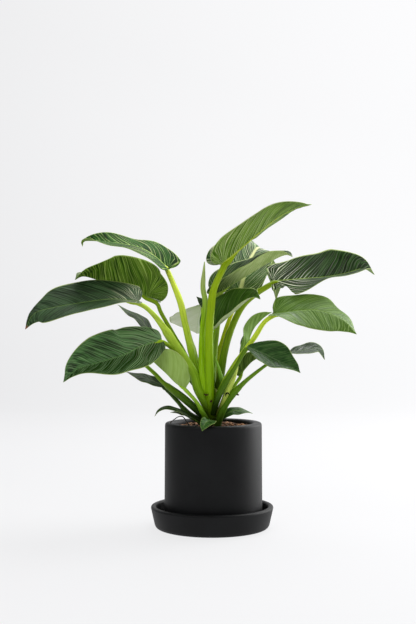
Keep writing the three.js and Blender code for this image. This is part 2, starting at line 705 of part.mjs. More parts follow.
// Rolled leaf, sheath or rootlet.
function shootBody(shoot, extra) {
  return solid(sweep(
    shoot.line, shoot.radii, petioleUp(shoot.line), SHOOT_STEPS, SHOOT_SIDES, 0.9, 0, 1, extra,
  ));
}

// ------------------------------------------------------------------ the whole plant

const group = new THREE.Group();
group.name = 'potted_philodendron_birkin';

function piece(name, manifold, color, roughness) {
  const material = new THREE.MeshStandardMaterial({ color, roughness, metalness: 0 });
  const mesh = new THREE.Mesh(geometryOf(manifold), material);
  mesh.name = name;
  group.add(mesh);
}

piece('saucer', saucer(), 0x1d1d1f, 0.55);
piece('pot', pot(), 0x1d1d1f, 0.55);
piece('stem', stem(0), 0x7d8a45, 0.6);

const stemGrown = stem(GAP);
const potGrown = turned([
  [0, 0], [POT_FOOT_RADIUS + GAP, 0], [POT_TOP_RADIUS + GAP, POT_RIM + GAP],
  [POT_INNER_RADIUS - GAP, POT_RIM + GAP], [POT_INNER_RADIUS - GAP, 20], [0, 20],
], POT_X, 0, ROUND_STEPS);

// Each piece is cut back from the ones placed before it, so crowded bases fit round each other.
const taken = [stemGrown];
function fitted(body) {
  let cut = body;
  for (const other of taken) cut = cut.subtract(other);
  return largest(cut);
}

for (const leaf of LEAVES) {
  const sheet = bladeSheet(leaf, BLADE_ROWS, BLADE_COLUMNS);
  leaf.blade = solid(thicken(sheet, BLADE_HALF_THICKNESS));
  leaf.bladeGrown = solid(thicken(sheet, BLADE_HALF_THICKNESS + GAP, GAP));
  piece(`${leaf.name}_blade`, leaf.blade, 0x2f5a33, 0.45);
}
for (const shoot of SHOOTS) {
  piece(shoot.name, fitted(shootBody(shoot, 0)), shoot.color, 0.5);
  taken.push(shootBody(shoot, GAP));
}
for (const leaf of LEAVES) {
  const trimmed = clearOf(petiole(leaf, 0).subtract(leaf.bladeGrown), leaf.blade);
  piece(`${leaf.name}_petiole`, fitted(trimmed), 0x8aa83a, 0.5);
  taken.push(petiole(leaf, GAP));
}
for (const leaf of SMALL_LEAVES) {
  const blade = solid(thicken(bladeSheet(leaf, SMALL_ROWS, SMALL_COLUMNS), BLADE_HALF_THICKNESS));
  piece(leaf.name, fitted(blade.add(stalk(leaf, 0)).subtract(potGrown)), 0x3c6a34, 0.45);
  taken.push(stalk(leaf, GAP));
}

// The soil has a plain hole for everything that stands in it.
let mix = soil().subtract(stemHole());
for (const other of taken.slice(1)) mix = mix.subtract(other);
piece('soil', largest(mix), 0x4a3325, 0.95);

export default group;
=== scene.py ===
"""Philodendron Birkin in a matte black pot with its saucer: fine leaves, materials, light and camera."""

import bpy
import numpy as np
from mathutils import Matrix


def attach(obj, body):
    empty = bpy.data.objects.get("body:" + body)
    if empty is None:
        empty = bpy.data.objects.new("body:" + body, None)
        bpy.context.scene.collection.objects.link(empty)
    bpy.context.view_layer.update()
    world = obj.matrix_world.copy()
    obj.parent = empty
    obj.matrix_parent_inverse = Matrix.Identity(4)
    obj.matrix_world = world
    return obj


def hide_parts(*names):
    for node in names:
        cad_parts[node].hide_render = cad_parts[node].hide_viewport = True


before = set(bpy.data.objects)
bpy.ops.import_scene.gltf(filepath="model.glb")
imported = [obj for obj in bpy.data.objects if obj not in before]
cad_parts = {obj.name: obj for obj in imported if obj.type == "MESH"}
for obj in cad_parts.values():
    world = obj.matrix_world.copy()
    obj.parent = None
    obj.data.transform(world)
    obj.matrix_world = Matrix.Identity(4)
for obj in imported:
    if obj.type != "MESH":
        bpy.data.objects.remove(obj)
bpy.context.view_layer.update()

MM = 0.001

# ---- pot, saucer, soil and stem, in mm

SAUCER_RIM_RADIUS = 81.7
SAUCER_BASE_RADIUS = 75.5
SAUCER_HEIGHT = 29.3
SAUCER_INNER_RADIUS = 74.5
SAUCER_FLOOR = 6.5
POT_X = 1.7
POT_TOP_RADIUS = 64.7
POT_FOOT_RADIUS = 65.4
POT_FOOT = 6.8
POT_RIM = 139.8
POT_INNER_RADIUS = 52
POT_FLOOR = 12
POT_HOLE_RADIUS = 6
ROUND = 144             # facets round the pot and the saucer

SOIL_RADIUS = POT_INNER_RADIUS - 0.4
SOIL_WALL_HEIGHT = 133.5
SOIL_CROWN_HEIGHT = 138.5
SOIL_FOOT = 19.2
SOIL_BEVEL = 6          # the soil's lower edge, rounded like the pot's inside
SOIL_BEVEL_HEIGHT = 4.8
SOIL_RINGS = 40
SOIL_SIDES = 120
CRUMBS = 520
CRUMB_SIDES = 7
CRUMB_FREE_RADIUS = 13  # round the stem

STEM_FOOT = 112
STEM_TOP = 186
STEM_FOOT_RADIUS = 9
STEM_TOP_RADIUS = 5.5
STEM_X = 2
STEM_Y = -9
STEM_SIDES = 40
SCARS = 9               # rings that fallen leaves left round the stem

# ---- how a blade is made, lengths in mm

VEIN_FAN = 0.22         # share of a margin whose veins leave the junction itself
VEIN_SWEEP = 0.34       # how far a side vein runs on towards the tip, in leaf lengths
SIDE_VEINS = 9
QUILT = 0.9             # how far the blade swells between its side veins
SKIN = 0.27             # half thickness of a blade
MARGIN_SKIN = 0.16
KEEL = 1.5              # midrib below the blade at the base
GROOVE = 0.45           # midrib's furrow above it
LEAF_GRID = (12, 48, 18)        # rows in the fan, rows beyond it, columns from midrib to margin
SMALL_LEAF_GRID = (6, 30, 10)
PETIOLE_GRID = (64, 20)         # steps along, sides round
SMALL_PETIOLE_GRID = (24, 12)
SHOOT_GRID = (56, 20)
BIT_GRID = (14, 10)

# ---- light and camera

FLOOR_HALF = 3.2                # metres, like the rest of the stage
WALL_FOOT = 1.7
WALL_TOP = 3.4
SWEEP_RADIUS = 0.9
SWEEP_STEPS = 24
PAPER_WHITE = (72, 72, 73)
PAPER_TINT = (0.99, 0.99, 1, 1)
# Painted light: the paper's glow, stronger to the right and up the wall.
PAPER_GLOW = (0.76, 0.9)        # at the left and at the right
PAPER_GLOW_X = 0.9
WALL_GLOW = (-0.035, 0.02, 0.055)   # more or less of it on the floor, low and high on the wall
WALL_GLOW_HEIGHTS = (0.4, 1.5)

LIGHTS = {                      # place, target and size in metres, power in watts
    "top_light": ((0.5, 0.8, 1.9), (0, 0, 0.2), (1.6, 1.6), 60),
    "right_light": ((1.8, 0.8, 0.7), (0, 0, 0.2), (1.6, 1.8), 62),
    "front_light": ((-0.4, -2.4, 2.0), (0, 0, 0.25), (3.0, 2.4), 36),
    "left_light": ((-1.3, -1.15, 1.95), (-0.1, 0, 0.3), (0.9, 0.9), 10),
}
NO_GLARE = "front_light"        # it lightens the shadows without a shine on the leaves
ROOM_COLOUR = (0.97, 0.98, 1.0, 1)
ROOM_STRENGTH = 0.18

CAMERA_PLACE = (-5.5, -1391, 273)   # mm, from the ellipses of the pot's rim and the saucer
CAMERA_PITCH_UP = 0.58          # degrees
FOCAL_PIXELS = 1039
PICTURE_HEIGHT = 624            # pixels
SENSOR = 36                     # mm

# ---- leaf outlines
# Margin of one half from the sinus round the basal lobe to the tip.
# X in leaf lengths along the midrib, Y in half widths.

HEART_SIDE = [
    (0.06, 0.87), (0.2, 0.96), (0.36, 1), (0.52, 0.985), (0.66, 0.9), (0.78, 0.72), (0.88, 0.44),
    (0.945, 0.17), (1, 0),
]
OUTLINES = {
    "heart": [(0, 0), (-0.05, 0.1), (-0.09, 0.26), (-0.1, 0.48), (-0.05, 0.7), *HEART_SIDE],
    "deep": [(0, 0), (-0.07, 0.02), (-0.1, 0.1), (-0.105, 0.36), (-0.06, 0.66), *HEART_SIDE],
    "oval": [
        (0, 0), (-0.02, 0.1), (-0.02, 0.28), (0.03, 0.5), (0.12, 0.73), (0.23, 0.89), (0.36, 0.98),
        (0.5, 1), (0.64, 0.92), (0.77, 0.74), (0.87, 0.47), (0.94, 0.18), (1, 0),
    ],
    "lance": [
        (0, 0), (0.03, 0.16), (0.11, 0.44), (0.23, 0.74), (0.37, 0.95), (0.5, 1), (0.64, 0.91),
        (0.77, 0.69), (0.87, 0.42), (0.94, 0.16), (1, 0),
    ],
}

# ---- leaves and shoots, in mm
# half: half width. lobe: how far the basal lobes reach back. face: where the upper side looks.
# front, back: degrees that the near and the far half are lifted, at base, middle and tip.
# share: a half's width against the other's. notches: place, depth and width of each dip in a margin.
# rib: midrib from the junction to the tip. petiole: crown to junction, with its radii.

COMMON = dict(lobe=0, shape="heart", face=(0, 0, 1), share={}, notches={})

LEAVES = [
    dict(name="leaf_01", half=34, face=(0.5, 0, 1), front=(-12, -20, 0), back=(42, 27, 60),
        rib=[(-60, 34, 347), (-78, 40, 364), (-97, 48, 376), (-123, 58, 383), (-152, 70, 387),
          (-172, 80, 389), (-182, 84, 388), (-184, 86, 381)],
        petiole=[(-7, -6, 165), (-21, 1, 212), (-30.5, 12, 247), (-37, 20, 273), (-44, 27, 303),
          (-60, 34, 347)], radii=(5.6, 5.8, 5.9, 5.3, 4.9, 3.2)),
    dict(name="leaf_02", half=46, lobe=22, shape="deep", face=(0.5, 0, 1), front=(80, 67, 43),
        back=(15, 5, 0),
        rib=[(-88.5, 20, 309), (-103, 15, 317), (-127, 3, 323), (-149, -10, 329), (-169, -24, 334),
          (-180, -30, 329)],
        petiole=[(-8, 1, 168), (-36, 14, 228), (-53, 18, 258), (-69, 21, 286), (-75, 21, 299),
          (-88.5, 20, 308)], radii=(5, 4, 3.4, 3.2, 3)),
    dict(name="leaf_03", half=36, lobe=4, face=(0.2, 0, 1), front=(-6, -20, -54), back=(42, 52, 46),
        notches={"back": ([0.88, 0.6, 0.12],)},
        rib=[(-97, -32, 301), (-131, -35, 303.5), (-171, -39, 298.5), (-210, -44, 291.5),
          (-231, -46, 284), (-242, -47, 264)],
        petiole=[(-1, -13, 148), (-10, -18, 168), (-19, -20, 186), (-25.5, -20, 208), (-47, -20, 240),
          (-67.7, -24, 272), (-84.6, -29, 291), (-97, -32, 300.5)],
        radii=(6, 7, 7.4, 6.8, 6.2, 5.6, 3.8, 3.3)),
    dict(name="leaf_04", half=39, lobe=4, shape="oval", face=(0.2, 0, 1), front=(-50, -28, -8),
        back=(52, 66, 66), notches={"back": ([0.88, 0.22, 0.12],)},
        rib=[(-66, -40, 251), (-81, -43, 246), (-97, -48, 240), (-112, -56, 232), (-144, -70, 222),
          (-170, -82, 214), (-187, -88, 198)],
        petiole=[(-7, -11, 158), (-25, -9, 197), (-37, -10, 220), (-48, -20, 235), (-65, -39, 250)],
        radii=(4, 4, 3.6, 3.4, 3.2)),
    dict(name="leaf_05", half=10, shape="lance", face=(0.6, 0, 1), front=(-32, -30, -10),
        back=(38, 30, 10),
        rib=[(-78, 28, 253), (-91, 46, 268), (-101, 62, 279), (-118, 84, 288), (-136, 108, 299)],
        petiole=[(-5, -1, 166), (-41, 16, 211), (-76, 27, 250)], radii=(4.5, 3.6, 3)),
    dict(name="leaf_06", half=30.5, lobe=2, shape="oval", face=(0.7, 0, 0.6), front=(85, 80, 50),
        back=(70, 50, 30),
        rib=[(-34.5, -42, 189), (-46, -45, 195), (-60, -42, 208), (-73, -32, 218.5), (-84, -22, 228.5)],
        petiole=[(-1, -18, 134), (-12.5, -30, 155), (-21, -36, 170), (-34.5, -42, 188)],
        radii=(4, 3.4, 3, 2.6)),
    dict(name="leaf_07", half=11, shape="lance", face=(0.4, 0, 1), front=(-30, -30, -15),
        back=(35, 30, 10),
        rib=[(-60, -8, 186), (-79, -4, 195), (-96, 0, 201), (-116, 6, 207)],
        petiole=[(-10, -12, 141), (-31, -12, 151.5), (-45, -11, 167.5), (-59, -8, 185)],
        radii=(5, 4.6, 3.4, 2.8)),
    dict(name="leaf_08", half=28, lobe=2, shape="oval", face=(0.3, 0, 1), front=(-14, -10, 0),
        back=(14, 20, 10),
        rib=[(-104, -6, 231), (-120, 6, 238), (-140, 22, 240), (-160, 42, 236), (-174, 60, 226)],
        petiole=[(-8, -16, 146), (-35, -22, 171), (-62, -22, 192), (-75, -20, 205), (-89, -14, 217),
          (-103, -7, 230)], radii=(5.5, 5.4, 5, 3.3, 3, 2.8)),
    dict(name="leaf_09", half=43, lobe=6, face=(0, 0.3, 1), front=(-20, -12, 0), back=(-70, -60, -40),
        rib=[(-12, 40, 298), (-17, 72, 289), (-20, 104, 275), (-22, 126, 257)],
        petiole=[(-3, 1, 168), (-12, 14, 222), (-12, 38, 296)], radii=(4.5, 3.6, 3)),
    dict(name="leaf_10", half=14, lobe=5, face=(0.4, 0, 1), front=(-60, -72, -75), back=(0, 0, 0),
        rib=[(14, 22, 288), (4, 25, 297), (-9, 28, 304), (-21.5, 31, 308.5)],
        petiole=[(0, 1, 168), (0, 14, 212), (4, 18, 255), (13, 22, 286.5)], radii=(4.5, 3.6, 3.2, 3)),
    dict(name="leaf_11", half=34, lobe=13, face=(-0.6, 0, 1), front=(66, 41, 4), back=(62, -6, -14),
        notches={"back": ([0.88, 0.9, 0.11],)},
        rib=[(14, -32, 350), (32, -22, 365.5), (59, -8, 389.5), (85, 4, 411.5), (111, 14, 427),
          (136, 22, 434)],
        petiole=[(0, -14, 146), (-2, -21, 166), (-3, -28, 197), (-4, -36, 226), (-4, -42, 261),
          (-2, -46, 289), (2, -44, 316), (14, -33, 349)], radii=(6, 6.2, 6, 5.6, 5, 4.8, 4.6, 4)),
    dict(name="leaf_12", half=38, lobe=9, share={"front": 0.74}, face=(-0.3, 0, 1), front=(26, 20, 40),
        back=(60, 33, 12),
        rib=[(7, 12, 313), (30, 3, 326.5), (57, -8, 342.5), (83, -20, 357), (97, -28, 362),
          (105, -34, 359)],
        petiole=[(1, -2, 168), (1, 2, 200), (3, 5, 228), (7, 7, 260), (10, 9, 288), (7, 11, 311)],
        radii=(4.5, 4, 3.6, 3, 3, 3)),
    dict(name="leaf_13", half=39, lobe=2, shape="oval", share={"front": 0.4}, face=(-0.5, 0, 1),
        front=(4, 8, 8), back=(84, 50, 10), notches={"back": ([0.72, 0.12, 0.14], [0.92, 0.4, 0.07])},
        rib=[(-8, 2, 256), (8, -8, 269.5), (30, -24, 288), (47, -40, 303), (55, -48, 306.5),
          (62, -54, 303)],
        petiole=[(1, -10, 172), (0, -5, 215), (-4, -1, 240), (-8, 1, 254)], radii=(3.4, 2.8, 2.4, 2.4)),
    dict(name="leaf_14", half=38, lobe=6, share={"front": 0.85}, face=(0, -1, 0.4), front=(10, 10, 10),
        back=(10, 10, 10), notches={"front": ([0.62, 0.6, 0.15],)},
        rib=[(38, 34, 313.5), (42.5, 42, 330.5), (48.5, 56, 348.5), (56.5, 74, 367), (68, 94, 380),
          (82, 114, 362), (92, 124, 329.5), (94, 126, 304)],
        petiole=[(3, 1, 167), (5, 12, 202), (10.8, 20, 236), (21.3, 27, 271), (37.5, 34, 311)],
        radii=(5, 4.4, 3.6, 3, 2.8)),
    dict(name="leaf_15", half=43, lobe=1, front=(-47, -3, -3), back=(38, 50, 62), share={"front": 0.87},
        notches={"front": ([0.04, 0.6, 0.06], [0.105, 0.75, 0.025]), "back": ([0.72, -0.2, 0.2],)},
        rib=[(81, 6, 329), (119, 12, 332), (154, 20, 335), (182, 28, 340), (208, 38, 347),
          (225, 45, 339)],
        petiole=[(4, -4, 172), (11, -6, 200), (16, -9, 232), (25.5, -9, 265), (44.5, -7, 300),
          (80, 5, 328)], radii=(6, 5.8, 5.4, 5.2, 5, 4)),
    dict(name="leaf_16", half=35, front=(-8, -42, -46), back=(46, 34, -4),
        notches={"back": ([0.66, 0.4, 0.13],)},
        rib=[(81, -26, 285), (117, -38, 289), (141, -48, 288), (168, -60, 276), (184, -68, 258)],
        petiole=[(0, -18, 157), (16, -26, 194), (34, -28, 224), (55, -29, 253), (68, -28, 273),
          (80, -26, 284)], radii=(5, 5, 4.4, 4, 3.8, 3.2)),
    dict(name="leaf_17", half=18.5, shape="lance", face=(-0.8, 0, 0.6), front=(60, 50, 30),
        back=(30, 20, 10),
        rib=[(38, 18, 229), (49, 26, 244), (52, 34, 254), (59, 42, 267), (72, 52, 280), (84, 58, 288)],
        petiole=[(5, 0, 162), (16, 8, 189), (37, 17, 228)], radii=(4, 3.4, 2.8)),
    dict(name="leaf_18", half=27, shape="lance", face=(0.2, 0, 1), front=(-22, -22, -10),
        back=(52, 58, 48), notches={"back": ([0.8, 0.25, 0.18],)},
        rib=[(45, -46, 242), (66, -51, 233), (88, -58, 222), (101, -64, 216), (112, -70, 209)],
        petiole=[(1, -20, 153), (7.5, -32, 174), (16.5, -38, 193), (31, -43, 217), (44, -46, 240)],
        radii=(4.4, 4.2, 3.8, 3.2, 2.8)),
    dict(name="leaf_19", half=21, shape="lance", front=(12, -12, -15), back=(-10, 18, 52),
        rib=[(86, -34, 231), (107, -32, 234), (126, -29, 238), (138, -27, 237), (148, -26, 224)],
        petiole=[(6, -17, 131), (12, -22, 153), (21, -26, 171), (36, -31, 189), (55, -34, 206),
          (85, -34, 230)], radii=(5, 5.1, 4.9, 3.6, 2.6, 2.5)),
    dict(name="leaf_20", half=16, lobe=1, shape="oval", face=(-0.7, 0, 0.7), front=(75, 70, 50),
        back=(40, 40, 20),
        rib=[(35.5, -7, 202), (44.5, -12, 213), (53, -17, 222), (63, -22, 227.5), (73, -28, 231.5)],
        petiole=[(8, -8, 150), (17, -9, 171), (28, -10, 187), (35, -8, 200)], radii=(3.6, 3.6, 3, 2.6)),
]

SMALL_LEAVES = [
    dict(name="small_leaf_left", half=6, shape="lance", face=(0.3, 0, 1), front=(-20, -20, -10),
        back=(20, 20, 10),
        rib=[(-21, -18, 143), (-36, -24, 153), (-50, -30, 160.5), (-62, -34, 161.5), (-70, -37, 158),
          (-75, -40, 151)],
        petiole=[(-9, -15, 132), (-14, -17, 138), (-23, -19, 144.3)], radii=(1.8, 1.7, 1.3)),
    dict(name="small_leaf_left_low", half=9, shape="lance", face=(0.3, 0, 1), front=(-20, -20, -10),
        back=(20, 20, 10),
        rib=[(-20, -8, 142), (-32, -6, 151), (-43, -5, 154), (-56, -2, 153)],
        petiole=[(-9, -8, 132), (-14, -8, 138), (-22, -8, 143.5)], radii=(1.8, 1.7, 1.3)),
    dict(name="small_leaf_front", half=13, shape="lance", front=(4, 4, 10), back=(30, 50, 40),
        share={"back": 0.6},
        rib=[(-1, -42, 146), (-7, -56, 145), (-11, -65, 141), (-13, -69, 135)],
        petiole=[(-1, -22, 132), (0, -30, 141), (-1, -43, 146)], radii=(1.8, 1.8, 1.4)),
    dict(name="small_leaf_right", half=8, shape="lance", front=(-35, -35, -10), back=(35, 35, 10),
        rib=[(12, -14, 143), (18, -13, 151), (25, -12, 155), (34, -11, 156), (45, -9, 155),
          (54, -7, 152)],
        petiole=[(9, -12, 132), (10, -13, 138), (13, -14, 144.5)], radii=(1.8, 1.7, 1.3)),
]

SHOOTS = [
    dict(name="rolled_leaf",
        line=[(-2, -13, 152), (-7, -19, 178), (-12, -24, 204), (-13, -26, 237), (-12, -26, 270),
          (-9, -26, 299), (-12, -26, 318), (-11, -25, 339), (-10, -23, 353)],
        radii=(4, 4.6, 5, 5, 4.4, 3.4, 3.6, 3.2, 0.6)),
    dict(name="sheath_middle",
        line=[(4, -13, 170), (8, -15, 176), (13, -18, 192), (10, -20, 208), (4, -22, 228)],
        radii=(3, 3, 3, 2, 0.6)),
    dict(name="sheath_right",
        line=[(6, -17, 150), (15.5, -27, 172), (22, -29, 188), (28, -31, 202), (33, -32, 216)],
        radii=(2.4, 3.4, 4.2, 4, 1.6)),
    dict(name="rootlet",
        line=[(-28, -10, 133), (-34, -13, 142), (-39, -16, 148.5), (-45, -20, 148.5), (-52, -24, 144),
          (-55, -26, 141.2)], radii=(0.9, 0.8, 0.7, 0.6, 0.6, 0.6)),
]

# ---- looks, colours in sRGB 0-255
# upper, upper_dark: the upper side's green and its darker parts. under, under_dark: the lower side.
# line, under_line: the side veins, and veins: how much they show. stripe, under_stripe: pinstripes.
# cream: how strong the pinstripes are near the base. reach: how far they go, in leaf lengths.
# trail: how strong they stay beyond that. pins: how many for each 100 mm of leaf. wide: how much
# wider they are near the base. rib, rib_strength, band: colour, strength and half width in mm of
# the midrib's pale line. gloss: roughness. specular: how bright the sheen is. glow: light let
# through. base_painted_shade: painted shade, a darker green near the base. tip: another colour there.
# near_half_painted_shade: how far the near half is darkened with painted shade, with its sheen lowered as
# far.

PLAIN = dict(
    upper=(44, 78, 30), upper_dark=(20, 42, 16), under=(104, 136, 48), under_dark=(76, 106, 30),
    stripe=(222, 228, 176), under_stripe=(178, 198, 110), line=(104, 142, 78), under_line=(150, 178, 84),
    rib=(132, 164, 78), rib_strength=0.4, band=0.3, cream=0.2, reach=0.5, trail=0.08, veins=0.35,
    gloss=0.42, specular=0.14, glow=0.15, pins=20, wide=0.3, base_painted_shade=None, tip=None,
    near_half_painted_shade=0.0,
)
LOOKS = {
    "leaf_01": dict(
        upper=(34, 78, 22), upper_dark=(10, 40, 4), line=(96, 146, 66), stripe=(206, 224, 140), cream=0.6,
        specular=0.05, gloss=0.6, reach=0.9, trail=0.35, rib=(176, 206, 110), rib_strength=0.7, band=0.5,
        veins=0.4, pins=11, wide=-0.06,
    ),
    "leaf_02": dict(
        under=(76, 116, 16), under_dark=(38, 70, 6), under_line=(150, 186, 70), veins=0.7, cream=0.95,
        reach=1.3, trail=0.4, under_stripe=(178, 204, 104), glow=0.22, pins=24, wide=-0.02,
    ),
    "leaf_03": dict(
        upper=(40, 70, 34), upper_dark=(12, 30, 12), line=(106, 138, 96), cream=0.8, tip=(146, 84, 62),
        specular=0.26, wide=0.0, reach=0.3, trail=0.05, veins=0.5, rib=(122, 158, 66), rib_strength=0.5,
    ),
    "leaf_04": dict(
        upper=(66, 116, 52), upper_dark=(14, 44, 8), line=(136, 174, 116), veins=0.6, specular=0.44,
        near_half_painted_shade=1.0, cream=0.15, reach=0.6, rib=(96, 142, 50), rib_strength=0.45, pins=22,
    ),
    "leaf_05": dict(
        upper=(30, 54, 22), upper_dark=(16, 32, 12), specular=0.06, cream=0.0, veins=0.2,
        rib_strength=0.2,
    ),
    "leaf_06": dict(
        under=(158, 188, 100), under_dark=(146, 176, 86), under_line=(152, 180, 96), veins=0.4, cream=0.0,
        rib_strength=0.3,
    ),
    "leaf_07": dict(
        upper=(44, 70, 36), upper_dark=(18, 34, 14), specular=0.08, cream=0.0, veins=0.2,
        rib_strength=0.2,
    ),
    "leaf_08": dict(cream=0.0),
    "leaf_09": dict(
        under=(246, 247, 234), under_dark=(234, 238, 216), under_line=(212, 218, 180), veins=0.3,
        cream=0.1, glow=0.3,
    ),
    "leaf_10": dict(upper=(28, 48, 30), upper_dark=(16, 28, 18), cream=0.1),
    "leaf_11": dict(
        under=(112, 150, 44), under_dark=(54, 92, 8), under_line=(150, 184, 92), veins=0.7, cream=1.0,
        wide=0.02, reach=1.1, trail=0.35, under_stripe=(208, 220, 152), rib=(190, 208, 70),
        rib_strength=1.0, band=1.2, glow=0.2, pins=22,
    ),
    "leaf_12": dict(
        upper=(36, 58, 30), upper_dark=(16, 30, 16), under=(214, 230, 162), under_dark=(168, 196, 108),
        base_painted_shade=(44, 72, 28), under_line=(172, 190, 120), veins=0.8, cream=0.2, reach=1, pins=22,
    ),
    "leaf_13": dict(
        upper=(56, 92, 14), upper_dark=(36, 68, 6), cream=0.0, veins=0.25, rib_strength=0.3,
        under=(196, 206, 170), under_dark=(170, 186, 136),
    ),
    "leaf_14": dict(
        upper=(42, 86, 32), upper_dark=(18, 50, 16), specular=0.1, cream=1.0, reach=1.4, trail=0.5,
        band=3.2, rib=(222, 226, 160), rib_strength=1.0, stripe=(214, 224, 172), veins=0.6, pins=22,
        wide=0.04, under=(160, 178, 130), under_dark=(140, 162, 108),
    ),
    "leaf_15": dict(
        upper=(24, 54, 12), upper_dark=(5, 16, 3), under=(150, 170, 118), under_dark=(124, 150, 92),
        line=(96, 132, 76), specular=0.05, gloss=0.56, cream=1.0, reach=0.5, trail=0.1, wide=-0.03,
        stripe=(242, 246, 214), veins=0.4, rib=(140, 168, 76), rib_strength=0.85, band=0.4, pins=17,
    ),
    "leaf_16": dict(
        upper=(84, 118, 36), upper_dark=(66, 100, 26), line=(150, 180, 104), veins=0.6,
        rib=(150, 184, 74), rib_strength=0.35, cream=0.0, gloss=0.46, pins=22,
    ),
    "leaf_17": dict(
        under=(112, 146, 60), under_dark=(88, 122, 40), under_line=(128, 160, 76), cream=0.0, veins=0.3,
        rib_strength=0.2,
    ),
    "leaf_18": dict(
        upper=(66, 100, 50), upper_dark=(34, 66, 28), rib=(110, 136, 92), rib_strength=0.7, cream=0.0,
        veins=0.16, line=(60, 92, 50),
    ),
    "leaf_19": dict(
        upper=(44, 72, 34), upper_dark=(22, 46, 16), under=(150, 170, 126), under_dark=(126, 150, 100),
        cream=0.0, veins=0.2,
    ),
    "leaf_20": dict(under=(84, 108, 44), under_dark=(60, 84, 26), cream=0.0, veins=0.3),
    "small_leaf_left": dict(upper=(54, 80, 40), upper_dark=(30, 52, 22), cream=0.0, veins=0.1),
    "small_leaf_left_low": dict(
        upper=(22, 34, 16), upper_dark=(10, 18, 8), specular=0.05, cream=0.0, veins=0.1,
    ),
    "small_leaf_front": dict(upper=(58, 104, 40), upper_dark=(34, 70, 22), cream=0.1),
    "small_leaf_right": dict(upper=(58, 98, 40), upper_dark=(34, 66, 20), cream=0.0, veins=0.15),
}

# Petioles: green at the junction and lower down, and where the leaf sheath ends.
STALK = dict(top=(166, 204, 44), low=(120, 166, 0), ligule=0.5, step=0.5)
STALKS = {
    "leaf_01": dict(top=(216, 234, 78), low=(116, 164, 0), ligule=0.4),
    "leaf_02": dict(top=(132, 164, 30), low=(100, 140, 4)),
    "leaf_03": dict(top=(196, 222, 78), low=(122, 170, 10), ligule=0.7, step=1.0),
    "leaf_04": dict(top=(146, 180, 34), low=(112, 156, 8)),
    "leaf_05": dict(top=(104, 138, 30), low=(92, 130, 4)),
    "leaf_06": dict(top=(156, 198, 54), low=(98, 156, 4)),
    "leaf_07": dict(top=(62, 92, 22), low=(46, 76, 10)),
    "leaf_08": dict(top=(136, 176, 34), low=(52, 88, 10), ligule=0.52, step=0.9),
    "leaf_11": dict(top=(150, 178, 14), low=(132, 180, 0), ligule=0.8),
    "leaf_12": dict(top=(156, 184, 66), low=(108, 148, 20)),
    "leaf_14": dict(top=(226, 228, 58), low=(114, 142, 10)),
    "leaf_15": dict(top=(138, 166, 22), low=(92, 124, 10)),
    "leaf_16": dict(top=(206, 228, 62), low=(100, 142, 12)),
    "leaf_18": dict(top=(94, 130, 18), low=(58, 96, 6)),
    "leaf_19": dict(top=(108, 146, 24), low=(72, 114, 6)),
    "leaf_20": dict(top=(136, 168, 44), low=(104, 142, 12)),
}
SMALL_STALK = dict(top=(96, 130, 40), low=(70, 100, 24))
SHOOT_LOOKS = {
    "rolled_leaf": dict(top=(170, 188, 110), low=(146, 194, 0), change=0.6),
    "sheath_middle": dict(top=(146, 194, 62), low=(84, 136, 30)),
    "sheath_right": dict(top=(214, 232, 110), low=(196, 222, 80)),
    "rootlet": dict(top=(52, 40, 30), low=(30, 24, 20)),
}

# Dry bits at the crown: centre line, thickness in mm and skin; the skins with their seeds.
BITS = [
    ("stipule", [(17.4, -34, 176.4), (18.2, -34.6, 180.2), (20.4, -34.8, 181), (22.6, -34.2, 178.6)],
     1, "black_stipule"),
    ("husk_right", [(31.5, -30, 180.4), (33.2, -31, 178.8), (35.2, -31, 178.2)], 1.3, "dry_husk"),
    ("bark_chip", [(-4.4, -31, 144.2), (-1, -33, 144.8), (2.8, -33, 143.8)], 1.2, "dry_husk"),
    ("leaf_scar", [(-10.6, -29, 179.4), (-8, -31.4, 178.2), (-5, -31.6, 178.8)], 1.3, "dry_husk"),
    ("crown_bud", [(-2.4, -29, 169), (-1.4, -31, 170), (-0.6, -32, 171.6)], 1.5, "dry_husk"),
]
DRY_LOOKS = {
    "dry_husk": (dict(top=(168, 112, 60), low=(96, 60, 34)), 90.0),
    "black_stipule": (dict(top=(20, 16, 14), low=(10, 8, 8)), 91.0),
}

# ---- curves


def unit(v):
    return v / np.maximum(np.linalg.norm(v, axis=-1, keepdims=True), 1e-12)


def catmull(points, samples):
    """Points of a smooth curve through the given ones, spread evenly over its parameter."""
    p = np.asarray(points, float)
    k = len(p) - 1
    q = np.vstack([2 * p[0] - p[1], p, 2 * p[-1] - p[-2]])
    u = np.linspace(0, k, samples + 1)
    i = np.minimum(u.astype(int), k - 1)
    f = (u - i)[:, None]
    before, start, end, after = q[i], q[i + 1], q[i + 2], q[i + 3]
    leave, arrive = 0.5 * (end - before), 0.5 * (after - start)
    cubic = 2 * start - 2 * end + leave + arrive
    square = 3 * end - 3 * start - 2 * leave - arrive
    return start + leave * f + square * f**2 + cubic * f**3


